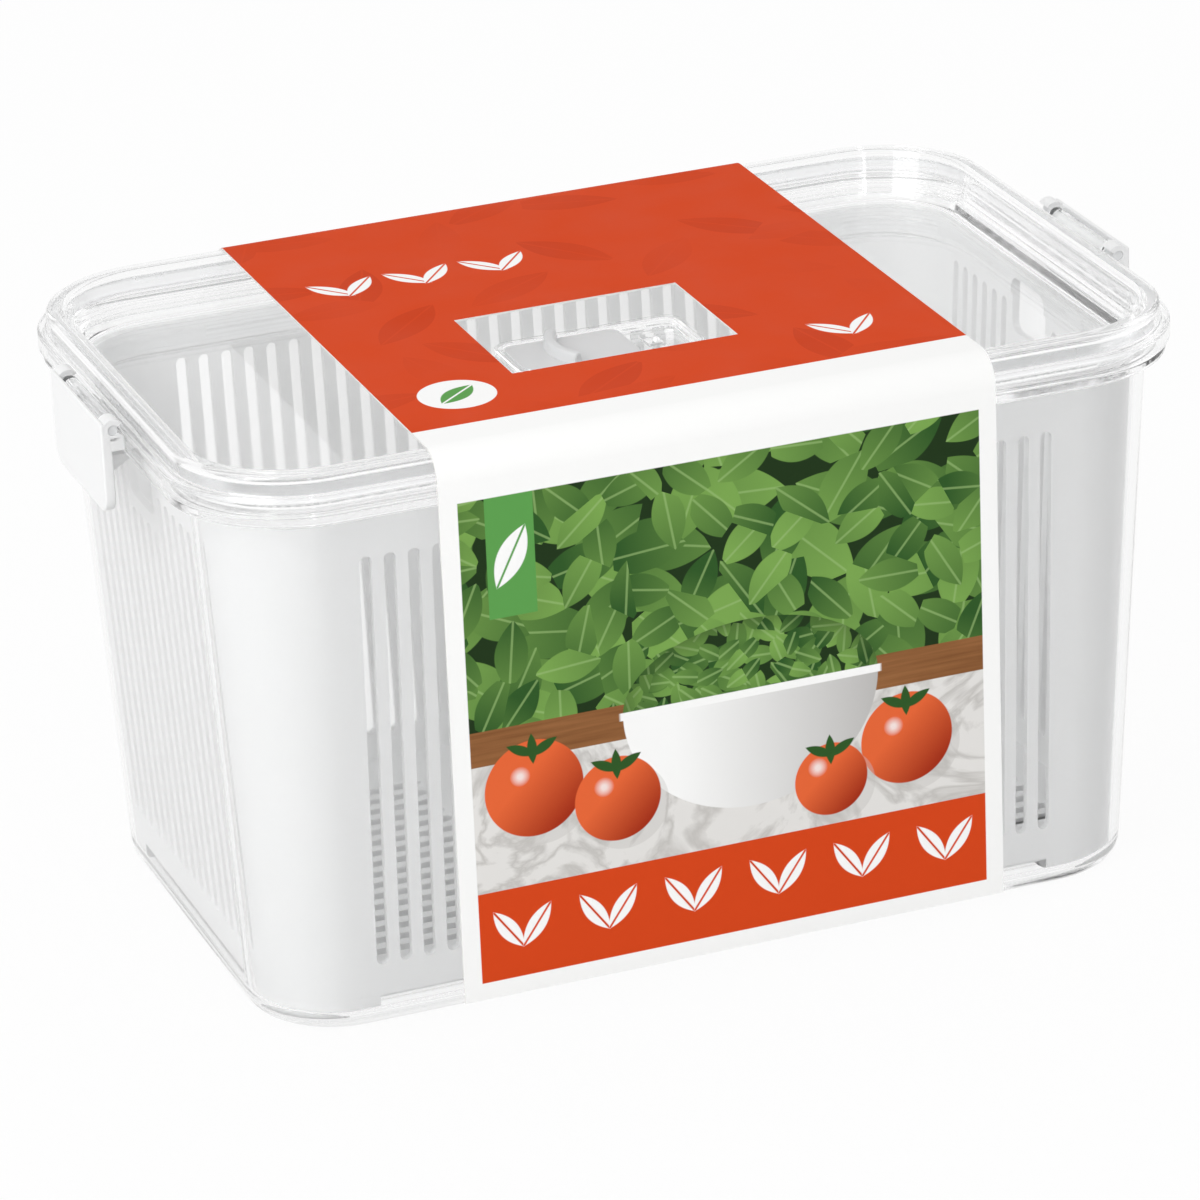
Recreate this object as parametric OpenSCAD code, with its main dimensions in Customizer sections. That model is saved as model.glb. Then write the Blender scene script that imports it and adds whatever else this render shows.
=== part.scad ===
// Clear airtight food container with a drain basket, a latched lid with a sliding vent, and a card sleeve.
// Millimetres, +Z up, origin at the middle of the underside. The long front is towards -Y.

/* [Tub] */
// Length of the tub outside, just under its flange
tub_l = 244; // [210:1:290]
// Width of the tub outside, just under its flange
tub_w = 152; // [130:1:190]
// Height of the tub from the table to the top of its lip
tub_h = 142.4; // [120:0.1:170]
// Corner radius of the tub outside, just under its flange
tub_corner_r = 29; // [26:0.5:36]
// Wall thickness of the tub
tub_wall = 2.2; // [1.8:0.1:2.8]
// Floor thickness of the tub
tub_floor = 3.2; // [2.4:0.1:5]
// How far each wall leans in from the flange down to the table
tub_draft = 6.9; // [4:0.1:9]
// Rounding of the bottom outer edge
tub_edge_r = 6; // [4:0.5:8]
// Depth of the recess under the floor
foot_recess = 0.8; // [0.4:0.1:1.2]
// Width of the flat ring that the tub stands on
foot_ring_w = 6; // [4:0.5:9]

/* [Rim] */
// How far the flange stands out from the wall
flange_w = 5; // [4:0.1:7]
// Thickness of the flange
flange_t = 2.6; // [2:0.1:3.4]
// Height of the lip above the flange
lip_h = 3.2; // [2.6:0.1:5]
// Thickness of the lip
lip_t = 2; // [1.6:0.1:2.6]
// Distance from the flange's edge to the lip
lip_inset = 2.6; // [2.2:0.1:3.2]

/* [Lid] */
// How far the lid's skirt stands out past the flange
skirt_reach = 1; // [0.4:0.1:2]
// Gap between the skirt and the flange under it
skirt_gap = 0.3; // [0.2:0.1:0.8]
// Thickness of the skirt
skirt_t = 1.8; // [1.4:0.1:2.2]
// Height of the skirt up to the ledge
skirt_h = 4.9; // [4.4:0.1:7]
// Thickness of the ledge
ledge_t = 1.6; // [1.2:0.1:2]
// Width of the ledge between the skirt's face and the ridge
ledge_w = 2.4; // [1.8:0.1:2.8]
// Width of the ridge along its top
ridge_w = 4.6; // [4:0.1:6]
// Height of the ridge above the ledge
ridge_h = 4.9; // [4:0.1:7]
// Rounding of the ridge's outer top edge
ridge_r = 1.8; // [0.8:0.1:2]
// Depth of the recessed panel below the ridge
recess_h = 12.3; // [11:0.1:14]
// How far the recess wall leans in on its way down
recess_lean = 4.2; // [3.6:0.1:6]
// Thickness of the recessed panel
panel_t = 2.2; // [1.6:0.1:3]
// Gap between the lid's plug and the tub's mouth
plug_gap = 0.6; // [0.4:0.1:1]

/* [Lid seal] */
// Width of the silicone ring
seal_w = 2; // [1.4:0.1:2.2]
// Height of the silicone ring
seal_h = 4.2; // [3:0.1:4.6]
// Free gap beside the ring in its groove
seal_fit = 0.05; // [0.02:0.01:0.1]
// Gap left between the ring and the tub's lip
seal_seat = 0.2; // [0.1:0.05:0.4]

/* [Latches] */
// Width of a latch plate
latch_w = 42.4; // [34:0.2:56]
// Height of a latch plate
latch_h = 23.3; // [19:0.1:28]
// Thickness of a latch plate
latch_t = 2.7; // [2.2:0.1:3.2]
// Corner radius of the plate's lower corners
latch_corner_r = 5; // [2:0.5:8]
// Distance of the hinge axis from the skirt's face
hinge_out = 3; // [2.8:0.1:3.6]
// Height of the hinge axis above the ledge
hinge_rise = 0.9; // [0.4:0.1:1.4]
// Radius of the hinge pin moulded on the lid
pin_r = 1.3; // [1:0.05:1.4]
// Running gap between the pin and the latch's knuckles
pin_fit = 0.05; // [0.02:0.01:0.1]
// Outer radius of a knuckle
knuckle_r = 2.7; // [2.4:0.1:2.8]
// Width of a knuckle
knuckle_w = 5; // [4:0.2:7]
// Mouth of a knuckle, through which it snaps on the pin
knuckle_mouth = 1.8; // [1.2:0.1:1.9]
// Radius of the lug that carries the pin
lug_r = 1.5; // [1.4:0.05:1.7]
// Gap between a latch and the pieces beside it
latch_gap = 0.4; // [0.3:0.05:0.6]
// Width of the catch under the flange
hook_w = 28; // [16:0.5:34]
// How far the catch reaches under the flange
hook_bite = 2; // [1:0.1:2.6]
// Height of the catch at the plate
hook_h = 5.2; // [4:0.1:7]
// Gap between the catch and the flange
hook_gap = 0.3; // [0.2:0.05:0.6]

/* [Vent] */
// Length of the vent's collar
vent_l = 49.6; // [46:0.2:64]
// Width of the vent's collar
vent_w = 24.2; // [22:0.2:34]
// Depth of the vent's floor below the panel's upper side
vent_sink = 2.3; // [1:0.1:3]
// Corner radius of the collar outside
vent_corner_r = 5; // [3.5:0.5:7]
// Wall of the collar
vent_wall = 2; // [1.8:0.1:2.6]
// Height of the collar above the vent's floor
vent_h = 3; // [2.8:0.1:4.5]
// Length of the slider
slider_l = 30.5; // [26:0.5:34]
// Thickness of the slider
slider_t = 1.6; // [1.3:0.1:2]
// How deep the slider's tongues run in the collar's walls
tongue_w = 1; // [0.6:0.1:1.2]
// Thickness of the tongues
tongue_t = 0.7; // [0.5:0.05:0.9]
// Gap round the slider
slider_gap = 0.25; // [0.15:0.05:0.4]
// Thickness of the silicone pad under the slider
pad_t = 0.7; // [0.5:0.05:1]
// Gap between the pad and the vent's floor
pad_gap = 0.2; // [0.15:0.05:0.4]
// Radius of the curved thumb ridge at its middle
thumb_r = 16.5; // [12:0.5:24]
// Thickness of the thumb ridge
thumb_t = 3.4; // [2.4:0.1:4.5]
// Height of the thumb ridge above the slider
thumb_h = 2.8; // [1.5:0.1:4]
// Distance from the slider's middle back to the ridge's middle
thumb_shift = 4.8; // [0:0.1:6]
// Length of a vent hole, across the slide
hole_l = 7; // [4:0.5:8]
// Width of a vent hole, along the slide
hole_w = 4; // [2:0.5:5]
// Distance between the middles of the two vent holes
hole_pitch = 9.5; // [8.5:0.5:11]

/* [Basket] */
// Gap between the basket and the tub's walls
basket_gap = 1.4; // [1:0.1:2]
// Gap between the basket's rim and the lid above it
basket_headroom = 1.3; // [0.8:0.1:12]
// Wall thickness of the basket
basket_wall = 1.9; // [1.5:0.1:2.4]
// Floor thickness of the basket
basket_floor = 2; // [1.5:0.1:3]
// Rounding of the basket's bottom outer edge
basket_edge_r = 4; // [3:0.5:6]
// Height of the corner feet under the basket
foot_h = 3.3; // [2:0.1:6]
// Gap between the feet and the tub's floor
foot_gap = 0.3; // [0.2:0.05:0.6]
// Thickness of the corner feet at the basket's wall
foot_t = 6.5; // [5:0.1:9]
// Length of each foot's straight ends
foot_end = 5; // [3:0.5:15]
// How far the rim band stands in from the basket's wall
band_w = 0.6; // [0.3:0.05:0.9]
// Height of the rim band
band_h = 6.7; // [3:0.1:8]

/* [Basket slots] */
// Width of a slot
slot_w = 3; // [2:0.1:4]
// Distance between the middles of neighbouring slots
slot_pitch = 6; // [5:0.1:8]
// Height of the slots' lower ends above the basket's underside
slot_foot = 9.2; // [7:0.1:16]
// Distance of the slots' upper ends below the rim
slot_head = 9.6; // [8.5:0.1:14]
// Distance from the corner to the last slot on a long side
long_margin = 6; // [3:0.5:14]
// Distance from the corner to the last slot on a short side
short_margin = 2; // [1.6:0.2:10]
// Width of the finger hole in a short side
finger_w = 19.6; // [16:0.1:26]
// Height of the finger hole
finger_h = 14.4; // [10:0.1:16]
// Distance of the finger hole below the rim
finger_drop = 2.2; // [2:0.1:5]
// Solid stretch between the finger hole and the slots under it
finger_web = 3.5; // [2:0.5:8]
// Number of slot columns in the floor
floor_columns = 3; // [2:1:4]
// Solid stretch between two floor columns
floor_web = 6; // [4:0.5:12]

/* [Sleeve] */
// Width of the card sleeve along the container
sleeve_w = 141; // [80:1:180]
// How far the sleeve sits off the middle, along the container
sleeve_shift = -1.5; // [-8:0.5:8]
// Thickness of the card
card_t = 0.5; // [0.3:0.05:0.8]
// Gap between the sleeve and the lid's ridge
sleeve_rest = 0.3; // [0.2:0.05:0.6]
// Gap between the sleeve and the lid's skirt
sleeve_side = 1.2; // [1:0.1:2]
// How far the sleeve's hanging panels lean in at their lower edges
sleeve_lean = 0.8; // [0:0.1:0.8]
// Inner radius of the bend over the ridge
shoulder_r = 7; // [6.4:0.1:7.4]
// Height of the sleeve's lower edge above the table
sleeve_foot = 9.1; // [1:0.1:20]
// Length of the window in the sleeve's top
window_l = 58; // [40:1:70]
// Width of the window
window_w = 41; // [30:1:60]
// Place of the window's middle along the container
window_x = -8.5; // [-15:0.5:15]
// Place of the window's middle across the container
window_y = -20.5; // [-30:0.5:20]

/* [Hidden] */
$fn = 64;
// Small overlap where a cut runs past a face
cut = 1;
// Half of the short flat left between two end roundings
end_flat = 0.1;

// Corner centres, shared by every outline that follows the tub
core_x = tub_l / 2 - tub_corner_r;
core_y = tub_w / 2 - tub_corner_r;

// Rim heights and reaches, reaches being measured outwards from the corner centres
flange_top = tub_h - lip_h;
flange_z = flange_top - flange_t;
flange_u = tub_corner_r + flange_w;
lip_out = flange_u - lip_inset;
lip_in = lip_out - lip_t;
mouth_u = tub_corner_r - tub_wall;

// Reach of the tub's outer wall at a height
function wall_u(z) = tub_corner_r - tub_draft * (flange_z - z) / flange_z;

// Lid heights and reaches
skirt_u = flange_u + skirt_reach;
skirt_z = flange_top + skirt_gap;
ledge_z = skirt_z + skirt_h;
ridge_out = skirt_u - ledge_w;
ridge_in = ridge_out - ridge_w;
lid_top = ledge_z + ridge_h;
panel_top = lid_top - recess_h;
panel_z = panel_top - panel_t;
recess_u = ridge_in - recess_lean;
collar_u = lip_in - plug_gap;
plug_u = mouth_u - plug_gap;
step_z = flange_top + plug_gap;

// Seal groove, centred over the lip
seal_mid = lip_out - lip_t / 2;
seal_z = tub_h + seal_seat;
groove_top = seal_z + seal_h + seal_fit;

// Latch and hinge
end_x = core_x + skirt_u;
hinge_x = end_x + hinge_out;
hinge_z = ledge_z + hinge_rise;
plate_out = hinge_x + knuckle_r + latch_gap;
plate_in = plate_out - latch_t;
plate_top = hinge_z + lug_r + latch_gap;
knuckle_z = skirt_z + latch_gap;
// Angles at which the two faces of the lug's web meet its round end
web_low = 315;
web_high = 200;
hook_tip = core_x + flange_u - hook_bite;
hook_z = flange_z - hook_gap;
lug_w = latch_w - 2 * knuckle_w - 2 * latch_gap;

// Vent
well_l = vent_l - 2 * vent_wall;
well_w = vent_w - 2 * vent_wall;
well_r = vent_corner_r - vent_wall;
vent_z = panel_top - vent_sink;
pad_z = vent_z + pad_gap;
slider_z = pad_z + pad_t;
slider_w = well_w - 2 * slider_gap;
slider_x = -well_l / 2 + slider_gap;
tongue_z = slider_z + (slider_t - tongue_t) / 2;
hole_x = well_l / 2 - (well_l - slider_l - slider_gap) / 2;

// Basket
foot_z = tub_floor + foot_gap;
basket_z = foot_z + foot_h;
basket_top = panel_z - basket_headroom;
slot_z = basket_z + slot_foot;
slot_top = basket_top - slot_head;
finger_z = basket_top - finger_drop - finger_h / 2;
short_slot_top = finger_z - finger_h / 2 - finger_web;
function basket_u(z) = wall_u(z) - tub_wall - basket_gap;

// Sleeve
sleeve_top = lid_top + sleeve_rest;
sleeve_y = core_y + skirt_u + sleeve_side;
crease_z = skirt_z;
toe_y = sleeve_y - sleeve_lean;

// Sweeps a profile once round the container: x is the reach from the corner centres, y the height
module swept() {
    for (sx = [0, 1], sy = [0, 1])
        mirror([sx, 0, 0]) mirror([0, sy, 0])
            translate([core_x, core_y, 0]) rotate_extrude(angle = 90) children();
    for (side = [0, 1])
        mirror([0, side, 0]) translate([-core_x, core_y, 0])
            rotate([90, 0, 90]) linear_extrude(2 * core_x) children();
    for (side = [0, 1])
        mirror([side, 0, 0]) translate([core_x, core_y, 0])
            rotate([90, 0, 0]) linear_extrude(2 * core_y) children();
}

// Fills the middle of a swept solid between two heights
module middle(z0, z1) {
    translate([-core_x - cut, -core_y - cut, z0])
        cube([2 * (core_x + cut), 2 * (core_y + cut), z1 - z0]);
}

// Flat rounded rectangle, centred
module round_rect(l, w, r) {
    square([l - 2 * r, w], center = true);
    square([l, w - 2 * r], center = true);
    for (x = [-1, 1], y = [-1, 1])
        translate([x * (l / 2 - r), y * (w / 2 - r)]) circle(r);
}

// Upright slot outline with round ends, from one height to another
module slot(w, z0, z1) {
    translate([-w / 2, z0 + w / 2]) square([w, z1 - z0 - w]);
    for (z = [z0 + w / 2, z1 - w / 2])
        translate([0, z]) circle(w / 2);
}

// Lower corner of a tray profile: a flat floor with a rounded edge, up to the height of the rounding
module round_foot(u, z, r) {
    translate([0, z]) square([u - r, r]);
    translate([u - r, z + r]) circle(r);
}

// Places of a centred row of slots
function row(half, pitch) =
    let (n = floor(2 * half / pitch)) [for (i = [0:n]) (i - n / 2) * pitch];

// Cuts a row of upright slots straight through both long walls
module long_slots() {
    rotate([90, 0, 0])
        linear_extrude(2 * (core_y + tub_corner_r), center = true)
            for (x = row(core_x - long_margin, slot_pitch))
                translate([x, 0]) slot(slot_w, slot_z, slot_top);
}

// Cuts the slots and the finger holes straight through both short walls
module short_slots() {
    rotate([90, 0, 90])
        linear_extrude(2 * (core_x + tub_corner_r), center = true) {
            for (y = row(core_y - short_margin, slot_pitch)) {
                under_hole = abs(y) < finger_w / 2 + finger_web / 2 + slot_w / 2;
                translate([y, 0]) slot(slot_w, slot_z, under_hole ? short_slot_top : slot_top);
            }
            translate([0, finger_z]) round_rect(finger_w, finger_h, finger_h / 2 - end_flat);
        }
}

// Cuts columns of drain slots through the basket's floor
module floor_slots() {
    column = (2 * (core_x + slot_pitch) - (floor_columns - 1) * floor_web) / floor_columns;
    translate([0, 0, basket_z - cut])
        linear_extrude(basket_floor + 2 * cut)
            for (c = [0:floor_columns - 1], y = row(core_y, slot_pitch))
                translate([(c - (floor_columns - 1) / 2) * (column + floor_web), y])
                    round_rect(column, slot_w, slot_w / 2 - end_flat);
}

// Clear tub with leaning walls, a flange for the latches and a lip for the lid's seal
module tub() {
    inner_r = tub_edge_r - tub_wall;
    inner_z = tub_floor + inner_r;
    color("whitesmoke", 0.35)
    difference() {
        union() {
            swept() {
                round_foot(wall_u(tub_edge_r), 0, tub_edge_r);
                polygon([[0, tub_edge_r], [wall_u(tub_edge_r), tub_edge_r],
                         [tub_corner_r, flange_z], [flange_u, flange_z], [flange_u, flange_top],
                         [lip_out, flange_top], [lip_out, tub_h], [0, tub_h]]);
            }
            middle(0, tub_h);
        }
        swept() {
            round_foot(wall_u(inner_z) - tub_wall, tub_floor, inner_r);
            polygon([[0, inner_z], [wall_u(inner_z) - tub_wall, inner_z],
                     [mouth_u, flange_z], [mouth_u, flange_top], [lip_in, flange_top],
                     [lip_in, tub_h + cut], [0, tub_h + cut]]);
        }
        middle(tub_floor, tub_h + cut);
        foot_r = wall_u(tub_edge_r) - tub_edge_r - foot_ring_w;
        translate([0, 0, -cut]) linear_extrude(foot_recess + cut)
            round_rect(2 * (core_x + foot_r), 2 * (core_y + foot_r), foot_r);
    }
}

// White basket with slots on every side, a slotted floor, finger holes and corner feet
module basket() {
    inner_r = basket_edge_r - basket_wall;
    low_z = foot_z + basket_edge_r;
    inner_z = basket_z + basket_floor + inner_r;
    band_z = basket_top - band_h;
    hollow_u = basket_u(low_z) - foot_t;
    color("white")
    difference() {
        union() {
            swept() {
                round_foot(basket_u(low_z), foot_z, basket_edge_r);
                polygon([[0, low_z], [basket_u(low_z), low_z], [basket_u(basket_top), basket_top],
                         [0, basket_top]]);
            }
            middle(foot_z, basket_top);
        }
        swept() {
            round_foot(basket_u(inner_z) - basket_wall, basket_z + basket_floor, inner_r);
            polygon([[0, inner_z], [basket_u(inner_z) - basket_wall, inner_z],
                     [basket_u(band_z) - basket_wall, band_z],
                     [basket_u(band_z) - basket_wall - band_w, band_z],
                     [basket_u(basket_top) - basket_wall - band_w, basket_top],
                     [basket_u(basket_top) - basket_wall - band_w, basket_top + cut],
                     [0, basket_top + cut]]);
        }
        middle(basket_z + basket_floor, basket_top + cut);
        long_slots();
        short_slots();
        floor_slots();
        under_floor(hollow_u);
    }
}

// Space under the basket's floor, which leaves a foot at each corner
module under_floor(hollow_u) {
    outer_x = core_x + tub_corner_r;
    outer_y = core_y + tub_corner_r;
    translate([0, 0, foot_z - cut]) linear_extrude(foot_h + cut) {
        round_rect(2 * (core_x + hollow_u), 2 * (core_y + hollow_u), hollow_u);
        square([2 * (core_x - foot_end), 2 * outer_y], center = true);
        square([2 * outer_x, 2 * (core_y - foot_end)], center = true);
    }
}

// Section through the lid's edge: skirt, ledge, ridge, recess wall, plug and seal groove
module lid_edge() {
    difference() {
        polygon([[0, panel_z], [plug_u, panel_z], [plug_u, step_z], [collar_u, step_z],
                 [collar_u, ledge_z - ledge_t], [skirt_u - skirt_t, ledge_z - ledge_t],
                 [skirt_u - skirt_t, skirt_z], [skirt_u, skirt_z], [skirt_u, ledge_z],
                 [ridge_out, ledge_z], [ridge_out, lid_top], [ridge_in, lid_top],
                 [recess_u, panel_top], [0, panel_top]]);
        translate([ridge_out - ridge_r, lid_top - ridge_r]) difference() {
            square(ridge_r + cut);
            circle(ridge_r);
        }
        groove_z = ledge_z - ledge_t - cut;
        translate([seal_mid - seal_w / 2 - seal_fit, groove_z])
            square([seal_w + 2 * seal_fit, groove_top - groove_z]);
    }
}

// Hinge lug at one end of the lid, with a pin standing out of both its sides
module hinge_lug() {
    root_x = end_x - skirt_t / 2;
    web_top = ledge_z - ledge_t;
    translate([0, lug_w / 2, 0]) rotate([90, 0, 0]) linear_extrude(lug_w) {
        polygon([[root_x, knuckle_z], [end_x, knuckle_z],
                 [hinge_x + lug_r * cos(web_low), hinge_z + lug_r * sin(web_low)],
                 [hinge_x + lug_r * cos(web_high), hinge_z + lug_r * sin(web_high)],
                 [end_x, web_top], [root_x, web_top]]);
        translate([hinge_x, hinge_z]) circle(lug_r);
    }
    translate([hinge_x, latch_w / 2, hinge_z]) rotate([90, 0, 0]) cylinder(h = latch_w, r = pin_r);
}

// Collar and floor of the vent before its well is cut
module vent_block() {
    translate([0, 0, vent_z - panel_t]) linear_extrude(panel_t + vent_h)
        round_rect(vent_l, vent_w, vent_corner_r);
}

// Well of the vent, with a groove along each side for the slider's tongues and two holes in its floor
module vent_well() {
    groove_w = slider_w + 2 * (tongue_w + slider_gap);
    translate([0, 0, vent_z]) linear_extrude(vent_h + cut)
        round_rect(well_l, well_w, well_r);
    translate([-well_l / 2, -groove_w / 2, tongue_z - slider_gap])
        cube([well_l, groove_w, tongue_t + 2 * slider_gap]);
    for (y = [-1, 1])
        translate([hole_x - hole_w / 2, y * hole_pitch / 2 - hole_l / 2, vent_z - panel_t - cut])
            cube([hole_w, hole_l, panel_t + 2 * cut]);
}

// Clear lid with its ridge, recessed panel, sunken vent and hinge lugs
module lid() {
    color("whitesmoke", 0.35)
    difference() {
        union() {
            swept() lid_edge();
            middle(panel_z, panel_top);
            vent_block();
            for (side = [0, 1]) mirror([side, 0, 0]) hinge_lug();
        }
        vent_well();
    }
}

// Silicone ring in the groove under the lid's ridge
module lid_seal() {
    color("gainsboro")
    swept() translate([seal_mid - seal_w / 2, seal_z]) square([seal_w, seal_h]);
}

// Latch at the +X end: a plate with two snap knuckles and a catch that grips under the flange
module latch() {
    plate_z = plate_top - latch_h;
    difference() {
        union() {
            translate([plate_in, 0, 0]) rotate([90, 0, 90]) linear_extrude(latch_t) {
                translate([0, (plate_top + plate_z + latch_corner_r) / 2])
                    square([latch_w, latch_h - latch_corner_r], center = true);
                translate([0, plate_z + latch_h / 2])
                    round_rect(latch_w, latch_h, latch_corner_r);
            }
            for (side = [-1, 1])
                translate([0, side * (latch_w - knuckle_w) / 2 + knuckle_w / 2, 0])
                    rotate([90, 0, 0]) linear_extrude(knuckle_w) {
                        translate([hinge_x, hinge_z]) circle(knuckle_r);
                        translate([hinge_x, hinge_z])
                            square([plate_out - hinge_x, plate_top - hinge_z]);
                        translate([hinge_x - knuckle_r, knuckle_z])
                            square([plate_out - hinge_x + knuckle_r, hinge_z - knuckle_z]);
                    }
            translate([0, hook_w / 2, 0]) rotate([90, 0, 0]) linear_extrude(hook_w)
                polygon([[hook_tip, hook_z], [plate_in + latch_t / 2, hook_z],
                         [plate_in + latch_t / 2, hook_z - hook_h], [plate_in, hook_z - hook_h],
                         [hook_tip, hook_z - hook_h / 4]]);
        }
        translate([hinge_x, latch_w / 2 + cut, hinge_z]) rotate([90, 0, 0])
            cylinder(h = latch_w + 2 * cut, r = pin_r + pin_fit);
        translate([hinge_x - knuckle_r - cut, -latch_w / 2 - cut, hinge_z - knuckle_mouth / 2])
            cube([knuckle_r + cut, latch_w + 2 * cut, knuckle_mouth]);
        translate([hinge_x, lug_w / 2 + latch_gap, hinge_z]) rotate([90, 0, 0])
            cylinder(h = lug_w + 2 * latch_gap, r = lug_r + latch_gap);
    }
}

// Latch on the left end
module latch_left() {
    color("white") mirror([1, 0, 0]) latch();
}

// Latch on the right end
module latch_right() {
    color("white") latch();
}

// Slider that covers or frees the vent holes, with a curved ridge for the thumb
module vent_slider() {
    mid_x = slider_x + slider_l / 2;
    color("gainsboro") {
        translate([mid_x, 0, slider_z]) linear_extrude(slider_t)
            round_rect(slider_l, slider_w, well_r);
        translate([slider_x + well_r, -slider_w / 2 - tongue_w, tongue_z])
            cube([slider_l - 2 * well_r, slider_w + 2 * tongue_w, tongue_t]);
        translate([mid_x - thumb_shift, 0, slider_z]) linear_extrude(slider_t + thumb_h)
            intersection() {
                translate([thumb_r, 0]) difference() {
                    circle(thumb_r + thumb_t / 2);
                    circle(thumb_r - thumb_t / 2);
                }
                square([2 * thumb_r, slider_w - 2 * slider_gap], center = true);
            }
    }
}

// Silicone pad under the slider
module vent_seal() {
    pad_l = slider_l - 2 * well_r;
    color("silver")
    translate([slider_x + slider_l / 2, 0, pad_z]) linear_extrude(pad_t)
        round_rect(pad_l, slider_w - 2 * slider_gap, well_r / 2);
}

// Half of the sleeve's section: top, bend over the ridge, short drop and leaning panel
module sleeve_half() {
    bend_y = sleeve_y - shoulder_r;
    bend_z = sleeve_top - shoulder_r;
    translate([0, sleeve_top]) square([bend_y, card_t]);
    translate([bend_y, bend_z]) intersection() {
        difference() {
            circle(shoulder_r + card_t);
            circle(shoulder_r);
        }
        square(shoulder_r + card_t);
    }
    polygon([[sleeve_y, bend_z], [sleeve_y, crease_z], [toe_y, sleeve_foot],
             [toe_y + card_t, sleeve_foot], [sleeve_y + card_t, crease_z], [sleeve_y + card_t, bend_z]]);
}

// Card sleeve over the lid and down both long sides, with a window over the vent
module sleeve() {
    color("orangered")
    difference() {
        translate([sleeve_shift - sleeve_w / 2, 0, 0]) rotate([90, 0, 90]) linear_extrude(sleeve_w) {
            sleeve_half();
            mirror([1, 0]) sleeve_half();
        }
        translate([window_x - window_l / 2, window_y - window_w / 2, sleeve_top - cut])
            cube([window_l, window_w, card_t + 2 * cut]);
    }
}

tub();
basket();
lid();
lid_seal();
latch_left();
latch_right();
vent_slider();
vent_seal();
sleeve();
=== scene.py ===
"""Looks of a clear food container: tub, drain basket, latched lid with a sliding vent, and card sleeve."""

import logging
import math
from collections.abc import Callable
from dataclasses import dataclass
from enum import Enum
from typing import NamedTuple

import bmesh
import bpy
from bmesh.types import BMEdge, BMesh, BMFace, BMVert
from mathutils import Matrix, Vector


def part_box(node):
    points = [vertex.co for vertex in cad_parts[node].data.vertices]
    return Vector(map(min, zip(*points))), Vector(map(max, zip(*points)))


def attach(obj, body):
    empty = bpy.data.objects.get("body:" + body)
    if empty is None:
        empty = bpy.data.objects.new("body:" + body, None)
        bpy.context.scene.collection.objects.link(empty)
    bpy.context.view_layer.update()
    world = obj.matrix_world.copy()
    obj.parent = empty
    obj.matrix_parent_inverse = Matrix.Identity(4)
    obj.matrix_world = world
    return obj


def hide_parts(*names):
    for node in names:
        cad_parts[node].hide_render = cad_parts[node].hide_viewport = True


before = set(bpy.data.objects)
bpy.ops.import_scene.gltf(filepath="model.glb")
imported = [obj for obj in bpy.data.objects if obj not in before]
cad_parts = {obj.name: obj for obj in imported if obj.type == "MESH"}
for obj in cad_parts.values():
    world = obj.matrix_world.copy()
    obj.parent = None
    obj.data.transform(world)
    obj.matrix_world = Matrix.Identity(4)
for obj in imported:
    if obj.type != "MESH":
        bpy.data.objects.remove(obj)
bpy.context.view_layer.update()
LOG = logging.getLogger("container")

# One millimetre in metres, and tolerances in millimetres
MM = 0.001
MERGE_DIST = 1e-3
CUT_DIST = 1e-4
NEAR = 0.01

# How much of a face's normal lies along an axis, and the angle from which an edge stays sharp
ASIDE = 0.3
FACING = 0.9
FLAT = 0.999
CREASE = math.radians(35)

# Types
Edges = list[BMEdge]
Color = tuple[float, float, float, float]
Point = tuple[float, float, float]
Socket = bpy.types.NodeSocket
Value = Socket | float | tuple[float, ...]
Material = bpy.types.Material
NodeTree = bpy.types.NodeTree

# White light, and how softly a printed mark ends, in millimetres
WHITE: Color = (1.0, 1.0, 1.0, 1.0)
INK_EDGE = (-0.1, 0.15)


class Slot(Enum):
    """Material slots of the record."""

    CLEAR = "clear_plastic"
    WHITE = "white_plastic"
    GREY = "grey_plastic"
    SILICONE = "silicone"
    CARD = "card"


class End(Enum):
    """The two short ends of the container, by the sign of X."""

    LEFT = -1
    RIGHT = 1


class Level(NamedTuple):
    """One corner of a piece's section, in millimetres."""

    reach: float
    height: float
    rounding: float = 0.0


def node_box(node: str) -> tuple[Vector, Vector]:
    """Returns a CAD node's lowest and highest corners in millimetres."""
    low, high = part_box(node)
    return low / MM, high / MM


def srgb(code: str) -> Color:
    """Turns a hex colour such as D84E28 into the linear values that shaders take."""
    values = [int(code[start:start + 2], 16) / 255 for start in (0, 2, 4)]
    linear = [value / 12.92 if value <= 0.04045 else ((value + 0.055) / 1.055) ** 2.4 for value in values]
    return (*linear, 1.0)


# Mesh helpers


def ring_edges(bm: BMesh, half_x: float, half_y: float, radius: float, z: float,
               middle_x: float = 0.0, segments: int = 16) -> Edges:
    """Draws a level rounded rectangle.

    Args:
        bm: Mesh to draw in.
        half_x: Half of its length.
        half_y: Half of its width.
        radius: Corner radius.
        z: Height.
        middle_x: Place of its middle along X.
        segments: Edges in each corner.

    Returns:
        The edges of the closed loop.
    """
    known = set(bm.faces)
    signs = ((-1, -1), (1, -1), (1, 1), (-1, 1))
    corners = [bm.verts.new((middle_x + sx * half_x, sy * half_y, z)) for sx, sy in signs]
    bm.faces.new(corners)
    bmesh.ops.bevel(bm, geom=corners, offset=radius, offset_type="ABSOLUTE", segments=segments,
                    profile=0.5, affect="VERTICES", material=-1, clamp_overlap=False)
    faces = [face for face in bm.faces if face not in known]
    edges = [edge for face in faces for edge in face.edges]
    bmesh.ops.delete(bm, geom=faces, context="FACES_ONLY")
    return edges


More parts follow.
